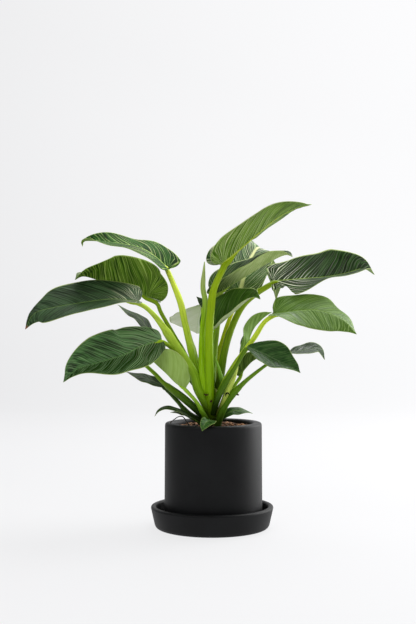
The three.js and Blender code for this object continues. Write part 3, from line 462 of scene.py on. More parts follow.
class Rail:
    """A curve measured by length, carrying a frame that does not twist round it."""

    def __init__(self, points, up, steps=120):
        raw = catmull(points, 2 * steps)
        run = np.r_[0, np.cumsum(np.linalg.norm(np.diff(raw, axis=0), axis=1))]
        self.steps, self.length = steps, run[-1]
        even = np.linspace(0, self.length, steps + 1)
        self.pos = np.stack([np.interp(even, run, raw[:, k]) for k in range(3)], 1)
        self.tan = unit(np.gradient(self.pos, axis=0))
        normal, normals = np.asarray(up, float), []
        for t in self.tan:
            normal = unit(normal - t * (normal @ t))
            normals.append(normal)
        self.nor = np.array(normals)

    def at(self, s):
        """Place, direction, normal and side at share s. Below 0 it runs straight back from the start."""
        s = np.asarray(s, float)
        c = np.clip(s, 0, 1) * self.steps
        i = np.minimum(c.astype(int), self.steps - 1)
        f = (c - i)[..., None]
        pos = self.pos[i] * (1 - f) + self.pos[i + 1] * f
        pos = pos + np.minimum(s, 0)[..., None] * self.length * self.tan[0]
        tan = unit(self.tan[i] * (1 - f) + self.tan[i + 1] * f)
        nor = unit(self.nor[i] * (1 - f) + self.nor[i + 1] * f)
        return pos, tan, nor, unit(np.cross(tan, nor))


def through(values, s):
    """Smooth value at s through the values given at 0, 1/2 and 1."""
    low = 0.5 * (1 - np.cos(np.pi * np.clip(2 * s, 0, 1)))
    high = 0.5 * (1 - np.cos(np.pi * np.clip(2 * s - 1, 0, 1)))
    return values[0] + (values[1] - values[0]) * low + (values[2] - values[1]) * high


def along(values, s):
    return np.interp(s, np.linspace(0, 1, len(values)), values)


def smooth_step(x):
    x = np.clip(x, 0, 1)
    return x * x * (3 - 2 * x)


def rough_length(line):
    return float(np.linalg.norm(np.diff(np.array(line, float), axis=0), axis=1).sum())


def margin(shape, t):
    """Points of the margin at shares t of its length; a leaf is about four half widths long."""
    curve = catmull([(4 * x, y) for x, y in OUTLINES[shape]], 600)
    run = np.r_[0, np.cumsum(np.linalg.norm(np.diff(curve, axis=0), axis=1))]
    even = t * run[-1]
    return np.interp(even, run, curve[:, 0]) / 4, np.maximum(np.interp(even, run, curve[:, 1]), 0)


# ---- meshes


def add_piece(name, points, faces, materials, node=None, fields=None, smooth=True, per_face=None,
              corners=None):
    """Piece from points in millimetres. fields go on points and corners on face corners.

    node is the CAD node that it replaces, and per_face gives each face's material and if it is flat.
    """
    mesh = bpy.data.meshes.new(name)
    mesh.from_pydata((np.asarray(points, float) * MM).tolist(), [], faces)
    for material in materials:
        mesh.materials.append(material)
    mesh.polygons.foreach_set("use_smooth", np.full(len(mesh.polygons), smooth, bool))
    if per_face is not None:
        index, flat = per_face
        mesh.polygons.foreach_set("material_index", np.asarray(index, np.int32))
        mesh.polygons.foreach_set("use_smooth", ~np.asarray(flat, bool))
    for domain, values_of in (("POINT", fields), ("CORNER", corners)):
        for field, values in (values_of or {}).items():
            attribute = mesh.attributes.new(field, "FLOAT_VECTOR", domain)
            attribute.data.foreach_set("vector", np.asarray(values, np.float32).ravel())
    mesh.validate()
    piece = bpy.data.objects.new(name, mesh)
    bpy.context.scene.collection.objects.link(piece)
    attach(piece, "root")
    if node:
        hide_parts(node)


def ring_faces(first, rings, sides):
    """Quads between rings of points that follow each other from the given one."""
    faces = []
    for i in range(rings - 1):
        for j in range(sides):
            a, b = first + i * sides + j, first + i * sides + (j + 1) % sides
            faces.append([a, a + sides, b + sides, b])
    return faces


def fan_faces(first, sides, centre, start=False):
    """Triangles from a ring to a point at its start or its end."""
    pairs = [(first + j, first + (j + 1) % sides) for j in range(sides)]
    return [[a, b, centre] if start else [b, a, centre] for a, b in pairs]


def lathe(profile, x, y, sides):
    """Body of revolution about the vertical through (x, y) from [radius, height] points."""
    angle = 2 * np.pi * np.arange(sides) / sides
    points, rings = [], []
    for r, z in profile:
        if r < 1e-6:
            points.append((x, y, z))
            rings.append([len(points) - 1] * sides)
        else:
            first = len(points)
            points += [(x + r * np.cos(a), y + r * np.sin(a), z) for a in angle]
            rings.append(list(range(first, first + sides)))
    faces = []
    for low, high in zip(rings, rings[1:]):
        for j in range(sides):
            k = (j + 1) % sides
            face = []
            for c in (low[j], low[k], high[k], high[j]):
                if c not in face:
                    face.append(c)
            if len(face) > 2:
                faces.append(face)
    return points, faces


def rounded(profile, radius, steps=5):
    """The same profile with its corners rounded, except at its first and last points."""
    p = [np.array(q, float) for q in profile]
    out = [p[0]]
    for before, corner, after in zip(p, p[1:], p[2:]):
        a, b = before - corner, after - corner
        reach = min(radius, 0.45 * np.linalg.norm(a), 0.45 * np.linalg.norm(b))
        start, end = corner + unit(a) * reach, corner + unit(b) * reach
        for k in range(steps + 1):
            f = k / steps
            out.append((1 - f) ** 2 * start + 2 * f * (1 - f) * corner + f**2 * end)
    out.append(p[-1])
    return [tuple(q) for q in out]


def sweep(line, radius, up, grid, section=None):
    """Closed bar along a line. radius(s) gives its size and section(angle, s) its shape across."""
    steps, sides = grid
    rail = Rail(line, up)
    s = np.linspace(0, 1, steps + 1)
    pos, _, nor, side = rail.at(s)
    angle = 2 * np.pi * np.arange(sides) / sides
    r = radius(s)[:, None] * (section(angle[None, :], s[:, None]) if section else np.ones((1, sides)))
    across, up_by = r * np.cos(angle), r * np.sin(angle)
    ring = pos[:, None] + across[..., None] * side[:, None] + up_by[..., None] * nor[:, None]
    stalk = np.stack([across, up_by, np.broadcast_to(s[:, None] * rail.length, r.shape)], -1)
    points = [*ring.reshape(-1, 3)]
    field = [*stalk.reshape(-1, 3)]
    faces = ring_faces(0, steps + 1, sides)
    for here in (0, steps):
        points.append(pos[here])
        field.append((0, 0, s[here] * rail.length))
        faces += fan_faces(here * sides, sides, len(points) - 1, here == 0)
    return np.array(points), faces, np.array(field)


# ---- blades


def vein_line(x, y):
    """Which side vein runs through a point: where it leaves the midrib, below 0 for a basal one.

    x is in leaf lengths along the midrib and y in half widths. The veins leave at a sharp angle
    and sweep on towards the tip; the basal ones fan out from the junction.
    """
    forward = VEIN_SWEEP * (0.75 * y + 0.25 * y**2)
    line = x - forward
    fan = VEIN_SWEEP * 0.6 / np.maximum(forward, 0.03)
    return np.where(line < 0, line * np.maximum(fan, 1), line)


def half_blade(leaf, rail, side, sign, t, v):
    """Middle surface of a half blade on a grid of margin shares t and vein shares v."""
    margin_x, margin_y = margin(leaf["shape"], t)
    margin_x = np.where(margin_x < 0, margin_x * 10 * leaf["lobe"] / rail.length, margin_x)[:, None]
    margin_y = margin_y[:, None]
    start = np.clip((t - VEIN_FAN) / (1 - VEIN_FAN), 0, 1)[:, None]
    v = v[None, :]
    bend_x = 0.45 * start + 0.55 * margin_x - 0.06 * (1 - start) * margin_y
    bend_y = 0.55 * margin_y
    x = (1 - v) ** 2 * start + 2 * v * (1 - v) * bend_x + v**2 * margin_x
    y = 2 * v * (1 - v) * bend_y + v**2 * margin_y
    for place, depth, width in leaf["notches"].get(side, ()):
        y = y * (1 - depth * np.exp(-(((x - place) / width) ** 2)) * v)
    wide = y * leaf["half"] * leaf["share"].get(side, 1)
    lift = np.radians(through(leaf[side], x))
    pos, _, nor, sideways = rail.at(x)
    phase = 0 if side == "front" else 0.2
    ripple = 1.2 * y * y * np.sin(2 * np.pi * (3 * x + phase)) * np.clip(1 - x, 0, 1.1)
    line = vein_line(x, y)
    quilt = QUILT * np.sin(2 * np.pi * (SIDE_VEINS * line + 0.4 * np.sin(7 * line))) * v * (1 - v)
    lifted = ripple + quilt
    point = pos + (wide * np.cos(lift) - lifted * np.sin(lift))[..., None] * sideways * sign
    point = point + (wide * np.sin(lift) + lifted * np.cos(lift))[..., None] * nor
    return point, x, wide, line


def front_side(rail):
    """1 where the rail's side looks to the front, else -1."""
    return 1 if rail.at(0)[3][1] < 0 else -1


def half_faces(ids, line, v, s, fan, sign, shift):
    """Faces of a half blade, and for each corner its vein, its share across and its share along."""
    faces, shares = [], []
    rows, columns = ids.shape
    for i in range(rows - 1):
        for j in range(columns - 1):
            cell = [(i, j), (i, j + 1), (i + 1, j + 1), (i + 1, j)]
            if sign < 0:
                cell.reverse()
            face, share = [], []
            at_junction = j == 0 and i < fan - 1
            for a, b in cell:
                if ids[a, b] not in face:
                    face.append(int(ids[a, b]))
                    here = line[i : i + 2, 1].mean() if at_junction and b == 0 else line[a, b]
                    share.append((here + shift, v[b], s[a]))
            faces.append(face)
            shares.append(share)
    return faces, shares


def normals_and_margin(points, faces):
    """Normal at each point of an open surface, and the edges that only one face has."""
    normal = np.zeros_like(points)
    edges = {}
    for face in faces:
        a, b, c = points[face[0]], points[face[1]], points[face[2]]
        area = np.cross(b - a, c - a)
        if len(face) == 4:
            area = area + np.cross(c - a, points[face[3]] - a)
        normal[face] += area
        for k, u in enumerate(face):
            edges[(u, face[(k + 1) % len(face)])] = True
    return unit(normal), np.array([(a, b) for a, b in edges if (b, a) not in edges])


def add_blade(leaf, rail, grid, materials):
    """Both skins of a blade, closed by a wall along its margin."""
    fan, rows, columns = grid
    fan_t = VEIN_FAN * np.linspace(1 / 3, 1, fan)
    t = np.r_[fan_t, VEIN_FAN + (1 - VEIN_FAN) * np.arange(1, rows + 1) / rows]
    v = np.linspace(0, 1, columns + 1) ** 1.35
    s = np.clip((t - VEIN_FAN) / (1 - VEIN_FAN), 0, 1)
    last = len(t) - 1
    rib_row = np.r_[np.zeros(fan, int), np.arange(1, rows + 1)]
    rib_share = np.r_[s[fan - 1], s[fan:]]
    points = [rail.at(rib_share)[0]]
    plan = [np.stack([rib_share * rail.length, 0 * rib_share, rib_share], 1)]
    count = rows + 1
    front_sign = front_side(rail)
    faces, shares = [], []
    for side, sign in (("front", front_sign), ("back", -front_sign)):
        surface, x, wide, line = half_blade(leaf, rail, side, sign, t, v)
        ids = np.zeros((last + 1, columns + 1), int)
        ids[:, 0] = rib_row
        ids[last, :] = rib_row[last]
        ids[:last, 1:] = count + np.arange(last * columns).reshape(last, columns)
        count += last * columns
        points.append(surface[:last, 1:].reshape(-1, 3))
        flat = np.stack([x * rail.length, sign * wide, x], -1)
        plan.append(flat[:last, 1:].reshape(-1, 3))
        more_faces, more_shares = half_faces(ids, line, v, s, fan, sign, 0 if side == "front" else 3)
        faces += more_faces
        shares += more_shares
    points, plan = np.vstack(points), np.vstack(plan)
    normal, edge = normals_and_margin(points, faces)
    distance, share = np.abs(plan[:, 1]), np.clip(plan[:, 2], 0, 1)
    skin = np.full(len(points), SKIN)
    skin[edge.ravel()] = MARGIN_SKIN
    keel_width = 0.7 + 1.5 * (1 - share)
    keel_round = np.sqrt(np.clip(1 - (distance / keel_width) ** 2, 0, 1))
    keel = KEEL * (0.12 + 0.88 * (1 - share) ** 1.6) * keel_round
    groove = GROOVE * (1 - 0.7 * share) * np.exp(-((distance / 1.1) ** 2))
    slim = min(1, leaf["half"] / 25)
    top = points + normal * (skin - groove * slim)[:, None]
    bottom = points - normal * (skin + keel * slim)[:, None]
    total = len(points)
    out = [*faces, *[[k + total for k in reversed(face)] for face in faces]]
    out += [[int(b), int(a), int(a) + total, int(b) + total] for a, b in edge]
    corner = [c for share in shares for c in share] + [c for share in shares for c in reversed(share)]
    corner += [(0.5, 1, 0.5)] * (4 * len(edge))
    kinds = [0] * len(faces) + [1] * (len(faces) + len(edge))
    flat = [False] * (2 * len(faces)) + [True] * len(edge)
    node = leaf["name"] if leaf["name"].startswith("small") else leaf["name"] + "_blade"
    add_piece(
        node + "_fine", np.vstack([top, bottom]), out, materials, node,
        {"plan": np.vstack([plan, plan])}, per_face=(kinds, flat), corners={"vein": corner},
    )


# ---- petioles


def stalk_up(line):
    """The channelled side of a petiole looks to the plant's middle."""
    first, last = np.array(line[0], float), np.array(line[-1], float)
    return np.array([first[0] - last[0], first[1] - last[1], 0.5 * (last[2] - first[2])])


def add_petiole(leaf, rib, look, material, seed):
    """Petiole with its sheath and channel, running on below the midrib."""
    line = [tuple(p) for p in leaf["petiole"]]
    pos, _, nor, _ = rib.at(np.array([0, 0.05, 0.11, 0.18]))
    end = leaf["radii"][-1]
    line[-1] = tuple(np.array(line[-1]) - nor[0] * end * 0.75)
    reach = Rail(line, (0, 0, 1)).length
    tail = [pos[k] - nor[k] * (0.3 + 0.95 * end * slim) for k, slim in ((1, 0.84), (2, 0.5), (3, 0.16))]
    whole = Rail(line + tail, (0, 0, 1)).length
    share = reach / whole
    base = leaf["radii"]
    ligule, step = look["ligule"], look["step"]

    def radius(s):
        p = s / share
        bare = along(base, np.clip(p, 0, 1))
        sheath = step * (1 - smooth_step((p - ligule) / 0.03)) * smooth_step((p - ligule + 0.5) / 0.5)
        knee = 0.35 * np.exp(-(((p - 0.97) / 0.05) ** 2))
        fade = 1 - smooth_step((p - 1) / (1 / share - 1))
        slight = 0.12 * np.sin(9 * s + seed) + 0.08 * np.sin(23 * s + 2 * seed)
        return np.maximum((bare + sheath + knee + slight) * (0.16 + 0.84 * fade), 0.3)

    def section(angle, s):
        p = s / share
        inside = 1 - smooth_step((p - ligule - 0.02) / 0.05)
        away = np.abs((angle - np.pi / 2 + np.pi) % (2 * np.pi) - np.pi)
        flat = 1 - 0.15 * np.abs(np.sin(angle))
        channel = -0.16 * np.exp(-((away / 0.42) ** 2)) * (0.35 + 0.65 * inside)
        wings = 0.11 * np.exp(-(((away - 0.62) / 0.2) ** 2)) * inside
        ribs = 0.012 * np.sin(9 * angle + seed)
        return flat * (1 + channel + wings + ribs)

    points, faces, field = sweep(line + tail, radius, stalk_up(leaf["petiole"]), PETIOLE_GRID, section)
    node = leaf["name"] + "_petiole"
    add_piece(node + "_fine", points, faces, [material], node, {"stalk": field})


# ---- node trees


def linear(colour):
    c = np.array(colour, float) / 255
    return tuple(np.where(c <= 0.04045, c / 12.92, ((c + 0.055) / 1.055) ** 2.4)) + (1.0,)


class Nodes:
    """Short way to write one material's node tree."""

    def __init__(self, name):
        self.material = bpy.data.materials.new(name)
        self.material.use_nodes = True
        self.tree = self.material.node_tree
        self.tree.nodes.clear()

    def new(self, kind, inputs, **settings):
        node = self.tree.nodes.new(kind)
        for key, value in settings.items():
            setattr(node, key, value)
        for key, value in inputs.items():
            if isinstance(value, bpy.types.NodeSocket):
                self.tree.links.new(value, node.inputs[key])
            else:
                node.inputs[key].default_value = value
        return node

    def attribute(self, name):
        return self.new("ShaderNodeAttribute", {}, attribute_name=name).outputs["Vector"]

    def place(self):
        return self.new("ShaderNodeTexCoord", {}).outputs["Object"]

    def split(self, vector):
        return self.new("ShaderNodeSeparateXYZ", {0: vector}).outputs

    def join(self, x, y, z):
        return self.new("ShaderNodeCombineXYZ", {0: x, 1: y, 2: z}).outputs[0]

    def math(self, operation, *values):
        return self.new("ShaderNodeMath", dict(enumerate(values)), operation=operation).outputs[0]

    def times(self, a, b):
        return self.math("MULTIPLY", a, b)

    def plus(self, a, b):
        return self.math("ADD", a, b)

    def minus(self, a, b):
        return self.math("SUBTRACT", a, b)

    def noise(self, vector, scale=1.0, detail=2.0, roughness=0.5):
        inputs = {"Vector": vector, "Scale": scale, "Detail": detail, "Roughness": roughness}
        return self.new("ShaderNodeTexNoise", inputs).outputs[0]

    def smooth(self, value, low, high):
        inputs = {"Value": value, "From Min": low, "From Max": high}
        return self.new("ShaderNodeMapRange", inputs, interpolation_type="SMOOTHSTEP").outputs[0]

    def between(self, value, low, high, to_low, to_high):
        inputs = {"Value": value, "From Min": low, "From Max": high, "To Min": to_low, "To Max": to_high}
        return self.new("ShaderNodeMapRange", inputs).outputs[0]

    def mix(self, factor, a, b):
        a = a if isinstance(a, bpy.types.NodeSocket) else linear(a)
        b = b if isinstance(b, bpy.types.NodeSocket) else linear(b)
        return self.new("ShaderNodeMix", {0: factor, 6: a, 7: b}, data_type="RGBA").outputs[2]

    def bump(self, height, strength, distance):
        inputs = {"Height": height, "Strength": strength, "Distance": distance * MM}
        return self.new("ShaderNodeBump", inputs).outputs[0]

    def surface(self, colour, roughness, normal=None, specular=0.5, glow=0.0, glow_colour=None):
        """Finishes the material; glow is the share of light that a leaf lets through."""
        inputs = {"Base Color": colour, "Roughness": roughness, "Specular IOR Level": specular}
        if normal is not None:
            inputs["Normal"] = normal
        shader = self.new("ShaderNodeBsdfPrincipled", inputs).outputs[0]
        if glow > 0:
            through_it = self.new("ShaderNodeBsdfTranslucent", {"Color": glow_colour}).outputs[0]
            shader = self.new("ShaderNodeMixShader", {0: glow, 1: shader, 2: through_it}).outputs[0]
        self.new("ShaderNodeOutputMaterial", {0: shader})
        return self.material


def leaf_material(name, look, upper, seed, length):
    """Skin of a blade: greens, cream pinstripes along the side veins, pale midrib and margin."""
    n = Nodes(name)
    t, v, _ = n.split(n.attribute("vein"))
    _, across, share = n.split(n.attribute("plan"))
    distance = n.math("ABSOLUTE", across)
    wander = n.noise(n.join(n.times(t, 5.0), n.times(v, 2.5), seed), 1.0, 1.0)
    vein = n.plus(t, n.times(n.minus(wander, 0.5), 0.03))

    def wave(rate, stretch, shift, detail=0.0):
        return n.noise(n.join(n.times(vein, rate), n.times(v, stretch), seed + shift), 1.0, detail)

    def pinstripes(count, width, shift):
        """1 on lines along the side veins, unevenly spaced."""
        uneven = n.times(wave(count * 0.5, 0.4, shift), 2.2)
        phase = n.math("FRACT", n.plus(n.times(vein, count), uneven))
        off = n.times(n.math("ABSOLUTE", n.minus(phase, 0.5)), 2.0)
        return n.minus(1.0, n.smooth(n.math("DIVIDE", off, width), 0.4, 1.0))

    count = look["pins"] * length / 100
    away = n.smooth(n.plus(share, n.times(v, 0.12)), look["reach"] * 0.3, look["reach"])
    near = n.minus(1.0, away)
    width = n.plus(0.28, n.times(near, look["wide"]))
    broken = n.smooth(wave(count * 0.9, 1.6, 5.0, 1.0), 0.36, 0.56)
    level = n.plus(look["trail"], n.times(near, look["cream"] - look["trail"]))
    cream = n.times(n.times(pinstripes(count, width, 1.0), n.plus(0.3, n.times(broken, 0.7))), level)
    soft = wave(count * 1.7, 1.0, 8.0, 1.0)
    thin = n.times(pinstripes(count * 1.6, 0.5, 3.0), n.smooth(soft, 0.36, 0.54))
    cloud = n.noise(n.join(n.times(t, 8.0), n.times(v, 2.6), seed + 3.0), 1.0, 2.0)

    rib_width = n.between(share, 0.0, 1.0, 1.1 + look["band"], 0.45)
    rib = n.minus(1.0, n.smooth(distance, n.times(rib_width, 0.4), rib_width))
    edge = n.smooth(v, 0.955, 0.98)

    under = "" if upper else "under_"
    light, dark = (look["upper"], look["upper_dark"]) if upper else (look["under"], look["under_dark"])
    shade = n.plus(n.times(cloud, 0.45), n.times(soft, 0.55))
    colour = n.mix(n.smooth(shade, 0.4, 0.6), dark, light)
    # Painted shade: the near half of the blade is darkened towards its dark green.
    front = n.smooth(n.times(across, look["front_side"]), 0.0, 2.0)
    colour = n.mix(n.times(front, look["near_half_painted_shade"]), colour, dark)
    # Painted shade: a darker green towards the base of the blade.
    if look["base_painted_shade"]:
        colour = n.mix(n.minus(1.0, n.smooth(share, 0.12, 0.5)), colour, look["base_painted_shade"])
    colour = n.mix(n.times(thin, look["veins"]), colour, look[under + "line"])
    colour = n.mix(cream, colour, look[under + "stripe"])
    colour = n.mix(n.times(rib, look["rib_strength"]), colour, look["rib"])
    colour = n.mix(n.times(edge, 0.7), colour, look["under_stripe"])
    if look["tip"]:
        colour = n.mix(n.smooth(share, 0.955, 0.99), colour, look["tip"])

    swell = wave(count * 0.42, 0.6, 11.0)
    grain = n.noise(n.attribute("plan"), 0.9, 2.0)
    height = n.plus(n.times(swell, 0.75), n.plus(n.times(soft, 0.2), n.times(grain, 0.05)))
    height = n.minus(height, n.times(thin, 0.06))
    normal = n.bump(height, 0.9 if upper else 0.5, 1.3)
    rough = look["gloss"] if upper else 0.55
    rough = n.between(soft, 0.3, 0.7, rough - 0.08, rough + 0.12)
    glow_colour = n.mix(0.5, colour, (150, 196, 40))
    specular = look["specular"] * (1 if upper else 0.7)
    # Less sheen on the near half, to go with its painted shade.
    if look["near_half_painted_shade"]:
        specular = n.between(front, 0.0, 1.0, specular, specular * (1 - look["near_half_painted_shade"]))
    return n.surface(colour, rough, normal, specular, look["glow"], glow_colour)


def stalk_material(name, look, seed, length):
    """Petiole: lighter towards the blade, with long streaks, fine ribs and small specks, and painted shade
    at its foot.
    """
    n = Nodes(name)
    x, y, z = n.split(n.attribute("stalk"))

    def grain(across, lengthwise, detail):
        place = n.join(n.times(x, across), n.times(y, across), n.plus(n.times(z, lengthwise), seed))
        return n.noise(place, 1.0, detail)

    streak = grain(0.5, 0.022, 2.0)
    fine = grain(2.0, 0.05, 1.5)
    speck = grain(2.4, 0.5, 1.0)
    change = look.get("change", 0.12)
    colour = n.mix(n.smooth(z, change * length, 0.92 * length), look["low"], look["top"])
    deep = tuple(c * 0.66 for c in look["low"])
    pale = tuple(min(255, 18 + c * 1.08) for c in look["top"])
    colour = n.mix(n.times(n.smooth(streak, 0.5, 0.72), 0.45), colour, deep)
    colour = n.mix(n.times(n.smooth(fine, 0.54, 0.72), 0.3), colour, pale)
    colour = n.mix(n.times(n.smooth(speck, 0.66, 0.76), 0.4), colour, deep)
    # Painted shade: the stalk turns dark at its foot, in the shade of the crown.
    foot = n.minus(1.0, n.smooth(z, 8.0, 40.0))
    colour = n.mix(n.times(foot, 0.9), colour, tuple(c * 0.4 for c in look["low"]))
    height = n.plus(n.times(fine, 0.7), n.times(speck, 0.3))
    rough = n.between(fine, 0.3, 0.7, 0.38, 0.54)
    glow_colour = n.mix(0.5, colour, (170, 214, 20))
    return n.surface(colour, rough, n.bump(height, 0.35, 0.4), 0.16, 0.15, glow_colour)


def black_material():
    """Matte black ware with a fine grain and faint turning lines."""
    n = Nodes("black_ware")
    place = n.place()
    x, y, z = n.split(place)
    grain = n.noise(place, 900.0, 2.0, 0.6)
    turned = n.noise(n.join(n.times(x, 4.0), n.times(y, 4.0), n.times(z, 420.0)), 1.0, 2.0, 0.5)
    cloud = n.noise(place, 22.0, 3.0, 0.55)
    shade = n.smooth(n.plus(n.times(cloud, 0.6), n.times(grain, 0.4)), 0.3, 0.7)
    colour = n.mix(shade, (14, 14, 15), (23, 24, 25))
    rough = n.between(n.plus(n.times(cloud, 0.5), n.times(grain, 0.5)), 0.35, 0.65, 0.46, 0.6)
    height = n.plus(n.times(grain, 0.5), n.times(turned, 0.5))
    return n.surface(colour, rough, n.bump(height, 0.3, 0.2), 0.15)


def earth_material(name, dark, light):
    """Crumbly mix or bark, each crumb with a tint of its own."""
    n = Nodes(name)
    place = n.place()
    lump = n.noise(place, 160.0, 4.0, 0.65)
    crumb = n.noise(place, 900.0, 3.0, 0.65)
    tint = n.split(n.attribute("tint"))[0]
    value = n.plus(n.times(n.plus(n.times(lump, 0.6), n.times(crumb, 0.4)), 0.55), n.times(tint, 0.45))
    colour = n.mix(n.smooth(value, 0.22, 0.72), dark, light)
    height = n.plus(n.times(lump, 0.5), n.times(crumb, 0.5))
    return n.surface(colour, 0.9, n.bump(height, 0.8, 1.2), 0.25)


# ---- pot, saucer

rng = np.random.default_rng(20)
black = black_material()


def ware(node, profile, x, radius):
    points, faces = lathe(rounded(profile, radius), x, 0, ROUND)
    add_piece(node + "_fine", points, faces, [black], node)


ware("saucer", [
    (0, 0), (SAUCER_BASE_RADIUS - 4, 0), (SAUCER_BASE_RADIUS - 1, 1), (SAUCER_BASE_RADIUS + 1, 4),
    (SAUCER_RIM_RADIUS, SAUCER_HEIGHT - 2.5), (SAUCER_RIM_RADIUS - 0.6, SAUCER_HEIGHT - 0.8),
    (SAUCER_RIM_RADIUS - 2.4, SAUCER_HEIGHT), (SAUCER_INNER_RADIUS + 2, SAUCER_HEIGHT),
    (SAUCER_INNER_RADIUS + 0.4, SAUCER_HEIGHT - 1), (SAUCER_INNER_RADIUS - 0.2, SAUCER_HEIGHT - 3),
    (SAUCER_INNER_RADIUS - 1, SAUCER_FLOOR + 6), (SAUCER_INNER_RADIUS - 3, SAUCER_FLOOR + 2),
    (SAUCER_INNER_RADIUS - 6, SAUCER_FLOOR), (0, SAUCER_FLOOR),
], 0, 3)
floor_height = POT_FOOT + POT_FLOOR
ware("pot", [
    (POT_HOLE_RADIUS, (POT_FOOT + floor_height) / 2), (POT_HOLE_RADIUS, POT_FOOT),
    (POT_FOOT_RADIUS - 3, POT_FOOT), (POT_FOOT_RADIUS - 0.8, POT_FOOT + 0.9),
    (POT_FOOT_RADIUS, POT_FOOT + 3), (POT_TOP_RADIUS, POT_RIM - 3), (POT_TOP_RADIUS - 0.9, POT_RIM - 0.9),
    (POT_TOP_RADIUS - 3, POT_RIM), (POT_INNER_RADIUS + 3, POT_RIM),
    (POT_INNER_RADIUS + 0.9, POT_RIM - 0.9), (POT_INNER_RADIUS, POT_RIM - 3),
    (POT_INNER_RADIUS, floor_height + 6), (POT_INNER_RADIUS - 6, floor_height),
    (POT_HOLE_RADIUS, floor_height), (POT_HOLE_RADIUS, (POT_FOOT + floor_height) / 2),
], POT_X, 2.5)

# ---- potting mix with bark and coir


def soil_height(r):
    q = np.clip(r / SOIL_RADIUS, 0, 1)
    return SOIL_WALL_HEIGHT + (SOIL_CROWN_HEIGHT - SOIL_WALL_HEIGHT) * (1 - smooth_step(q))


def lumps(x, y):
    """Uneven surface of the mix in millimetres."""
    out = np.zeros_like(x)
    turn = np.random.default_rng(4)
    for _ in range(14):
        a, b, c = turn.uniform(0, 2 * np.pi, 3)
        f = turn.uniform(0.25, 1.3)
        out += 0.22 * np.sin(f * (x * np.cos(a) + y * np.sin(a)) + b) * np.sin(0.7 * f * (x * np.sin(c)) + a)
    return out


def soil_mesh():
    """The mix as one closed body: its lumpy top, then its wall and its flat foot."""
    angle = 2 * np.pi * np.arange(SOIL_SIDES) / SOIL_SIDES
    top_radii = np.linspace(0, SOIL_RADIUS, SOIL_RINGS)[1:]
    points = [(POT_X, 0, soil_height(0.0))]
    for r in top_radii:
        x, y = r * np.cos(angle), r * np.sin(angle)
        z = soil_height(r) + lumps(x, y) * (1 if r < SOIL_RADIUS else 0.3)
        points += [(POT_X + p, q, h) for p, q, h in zip(x, y, z)]
    foot = ((SOIL_RADIUS, SOIL_FOOT + SOIL_BEVEL_HEIGHT), (SOIL_RADIUS - SOIL_BEVEL, SOIL_FOOT))
    for r, z in foot:
        points += [(POT_X + r * np.cos(c), r * np.sin(c), z) for c in angle]
    points.append((POT_X, 0, SOIL_FOOT))
    rings = len(top_radii) + len(foot)
    faces = fan_faces(1, SOIL_SIDES, 0, True) + ring_faces(1, rings, SOIL_SIDES)
    return points, faces + fan_faces(1 + (rings - 1) * SOIL_SIDES, SOIL_SIDES, len(points) - 1)


def crumb(centre, size):
    """One irregular crumb: a squashed, roughened sphere of three rings and two poles."""
    ring = []
    for lat in (-0.6, 0, 0.6):
        for k in range(CRUMB_SIDES):
            a = 2 * np.pi * (k + 0.5 * (lat == 0)) / CRUMB_SIDES
            ring.append((np.cos(a) * np.cos(lat), np.sin(a) * np.cos(lat), np.sin(lat)))
    ring += [(0, 0, -1), (0, 0, 1)]
    p = np.array(ring) * rng.uniform(0.72, 1.2, (len(ring), 1)) * np.array(size)
    a, b = rng.uniform(0, 2 * np.pi, 2)
    spin = np.array([[np.cos(a), -np.sin(a), 0], [np.sin(a), np.cos(a), 0], [0, 0, 1]])
    tip = 0.5 * np.sin(b)
    tilt = np.array([[1, 0, 0], [0, np.cos(tip), -np.sin(tip)], [0, np.sin(tip), np.cos(tip)]])
    low_pole, high_pole = len(ring) - 2, len(ring) - 1
    faces = []
    for row in range(2):
        for k in range(CRUMB_SIDES):
            c, d = row * CRUMB_SIDES + k, row * CRUMB_SIDES + (k + 1) % CRUMB_SIDES
            faces += [[c, d, d + CRUMB_SIDES], [c, d + CRUMB_SIDES, c + CRUMB_SIDES]]
    for k in range(CRUMB_SIDES):
        after = (k + 1) % CRUMB_SIDES
        faces.append([k, low_pole, after])
        faces.append([2 * CRUMB_SIDES + k, 2 * CRUMB_SIDES + after, high_pole])
    return p @ tilt.T @ spin.T + np.array(centre), faces


def scattered_crumbs():
    """Bark and coir on the mix, clear of the stem, each crumb with its own tint."""
    points, faces, tints = [], [], []
    for _ in range(CRUMBS):
        r = (POT_INNER_RADIUS - 2.4) * np.sqrt(rng.uniform(0.02, 1))
        a = rng.uniform(0, 2 * np.pi)
        x, y = r * np.cos(a), r * np.sin(a)
        if np.hypot(x + POT_X - STEM_X, y - STEM_Y) < CRUMB_FREE_RADIUS:
            continue
        big = rng.uniform() < 0.3
        size = rng.uniform(1.3, 3.0) if big else rng.uniform(0.5, 1.3)
        shape = (size * rng.uniform(1, 1.8), size, size * rng.uniform(0.35, 0.7))
        z = soil_height(r) + lumps(np.array([x]), np.array([y]))[0] + shape[2] * 0.45
        z = min(z, POT_RIM - 0.5 - shape[2])
        p, f = crumb((x + POT_X, y, z), shape)
        faces += [[c + len(points) for c in face] for face in f]
        points += [*p]
        tints += [[rng.uniform(0, 1)] * 3] * len(p)
    return points, faces, tints


earth = earth_material("potting_mix", (24, 16, 12), (92, 66, 46))
bark = earth_material("bark", (40, 24, 16), (150, 108, 76))
points, faces = soil_mesh()
tint = np.full((len(points), 3), 0.35)
add_piece("potting_mix_fine", points, faces, [earth], "soil", {"tint": tint})
points, faces, tints = scattered_crumbs()
add_piece("bark_and_coir", points, faces, [bark], None, {"tint": tints}, smooth=False)

# ---- stem


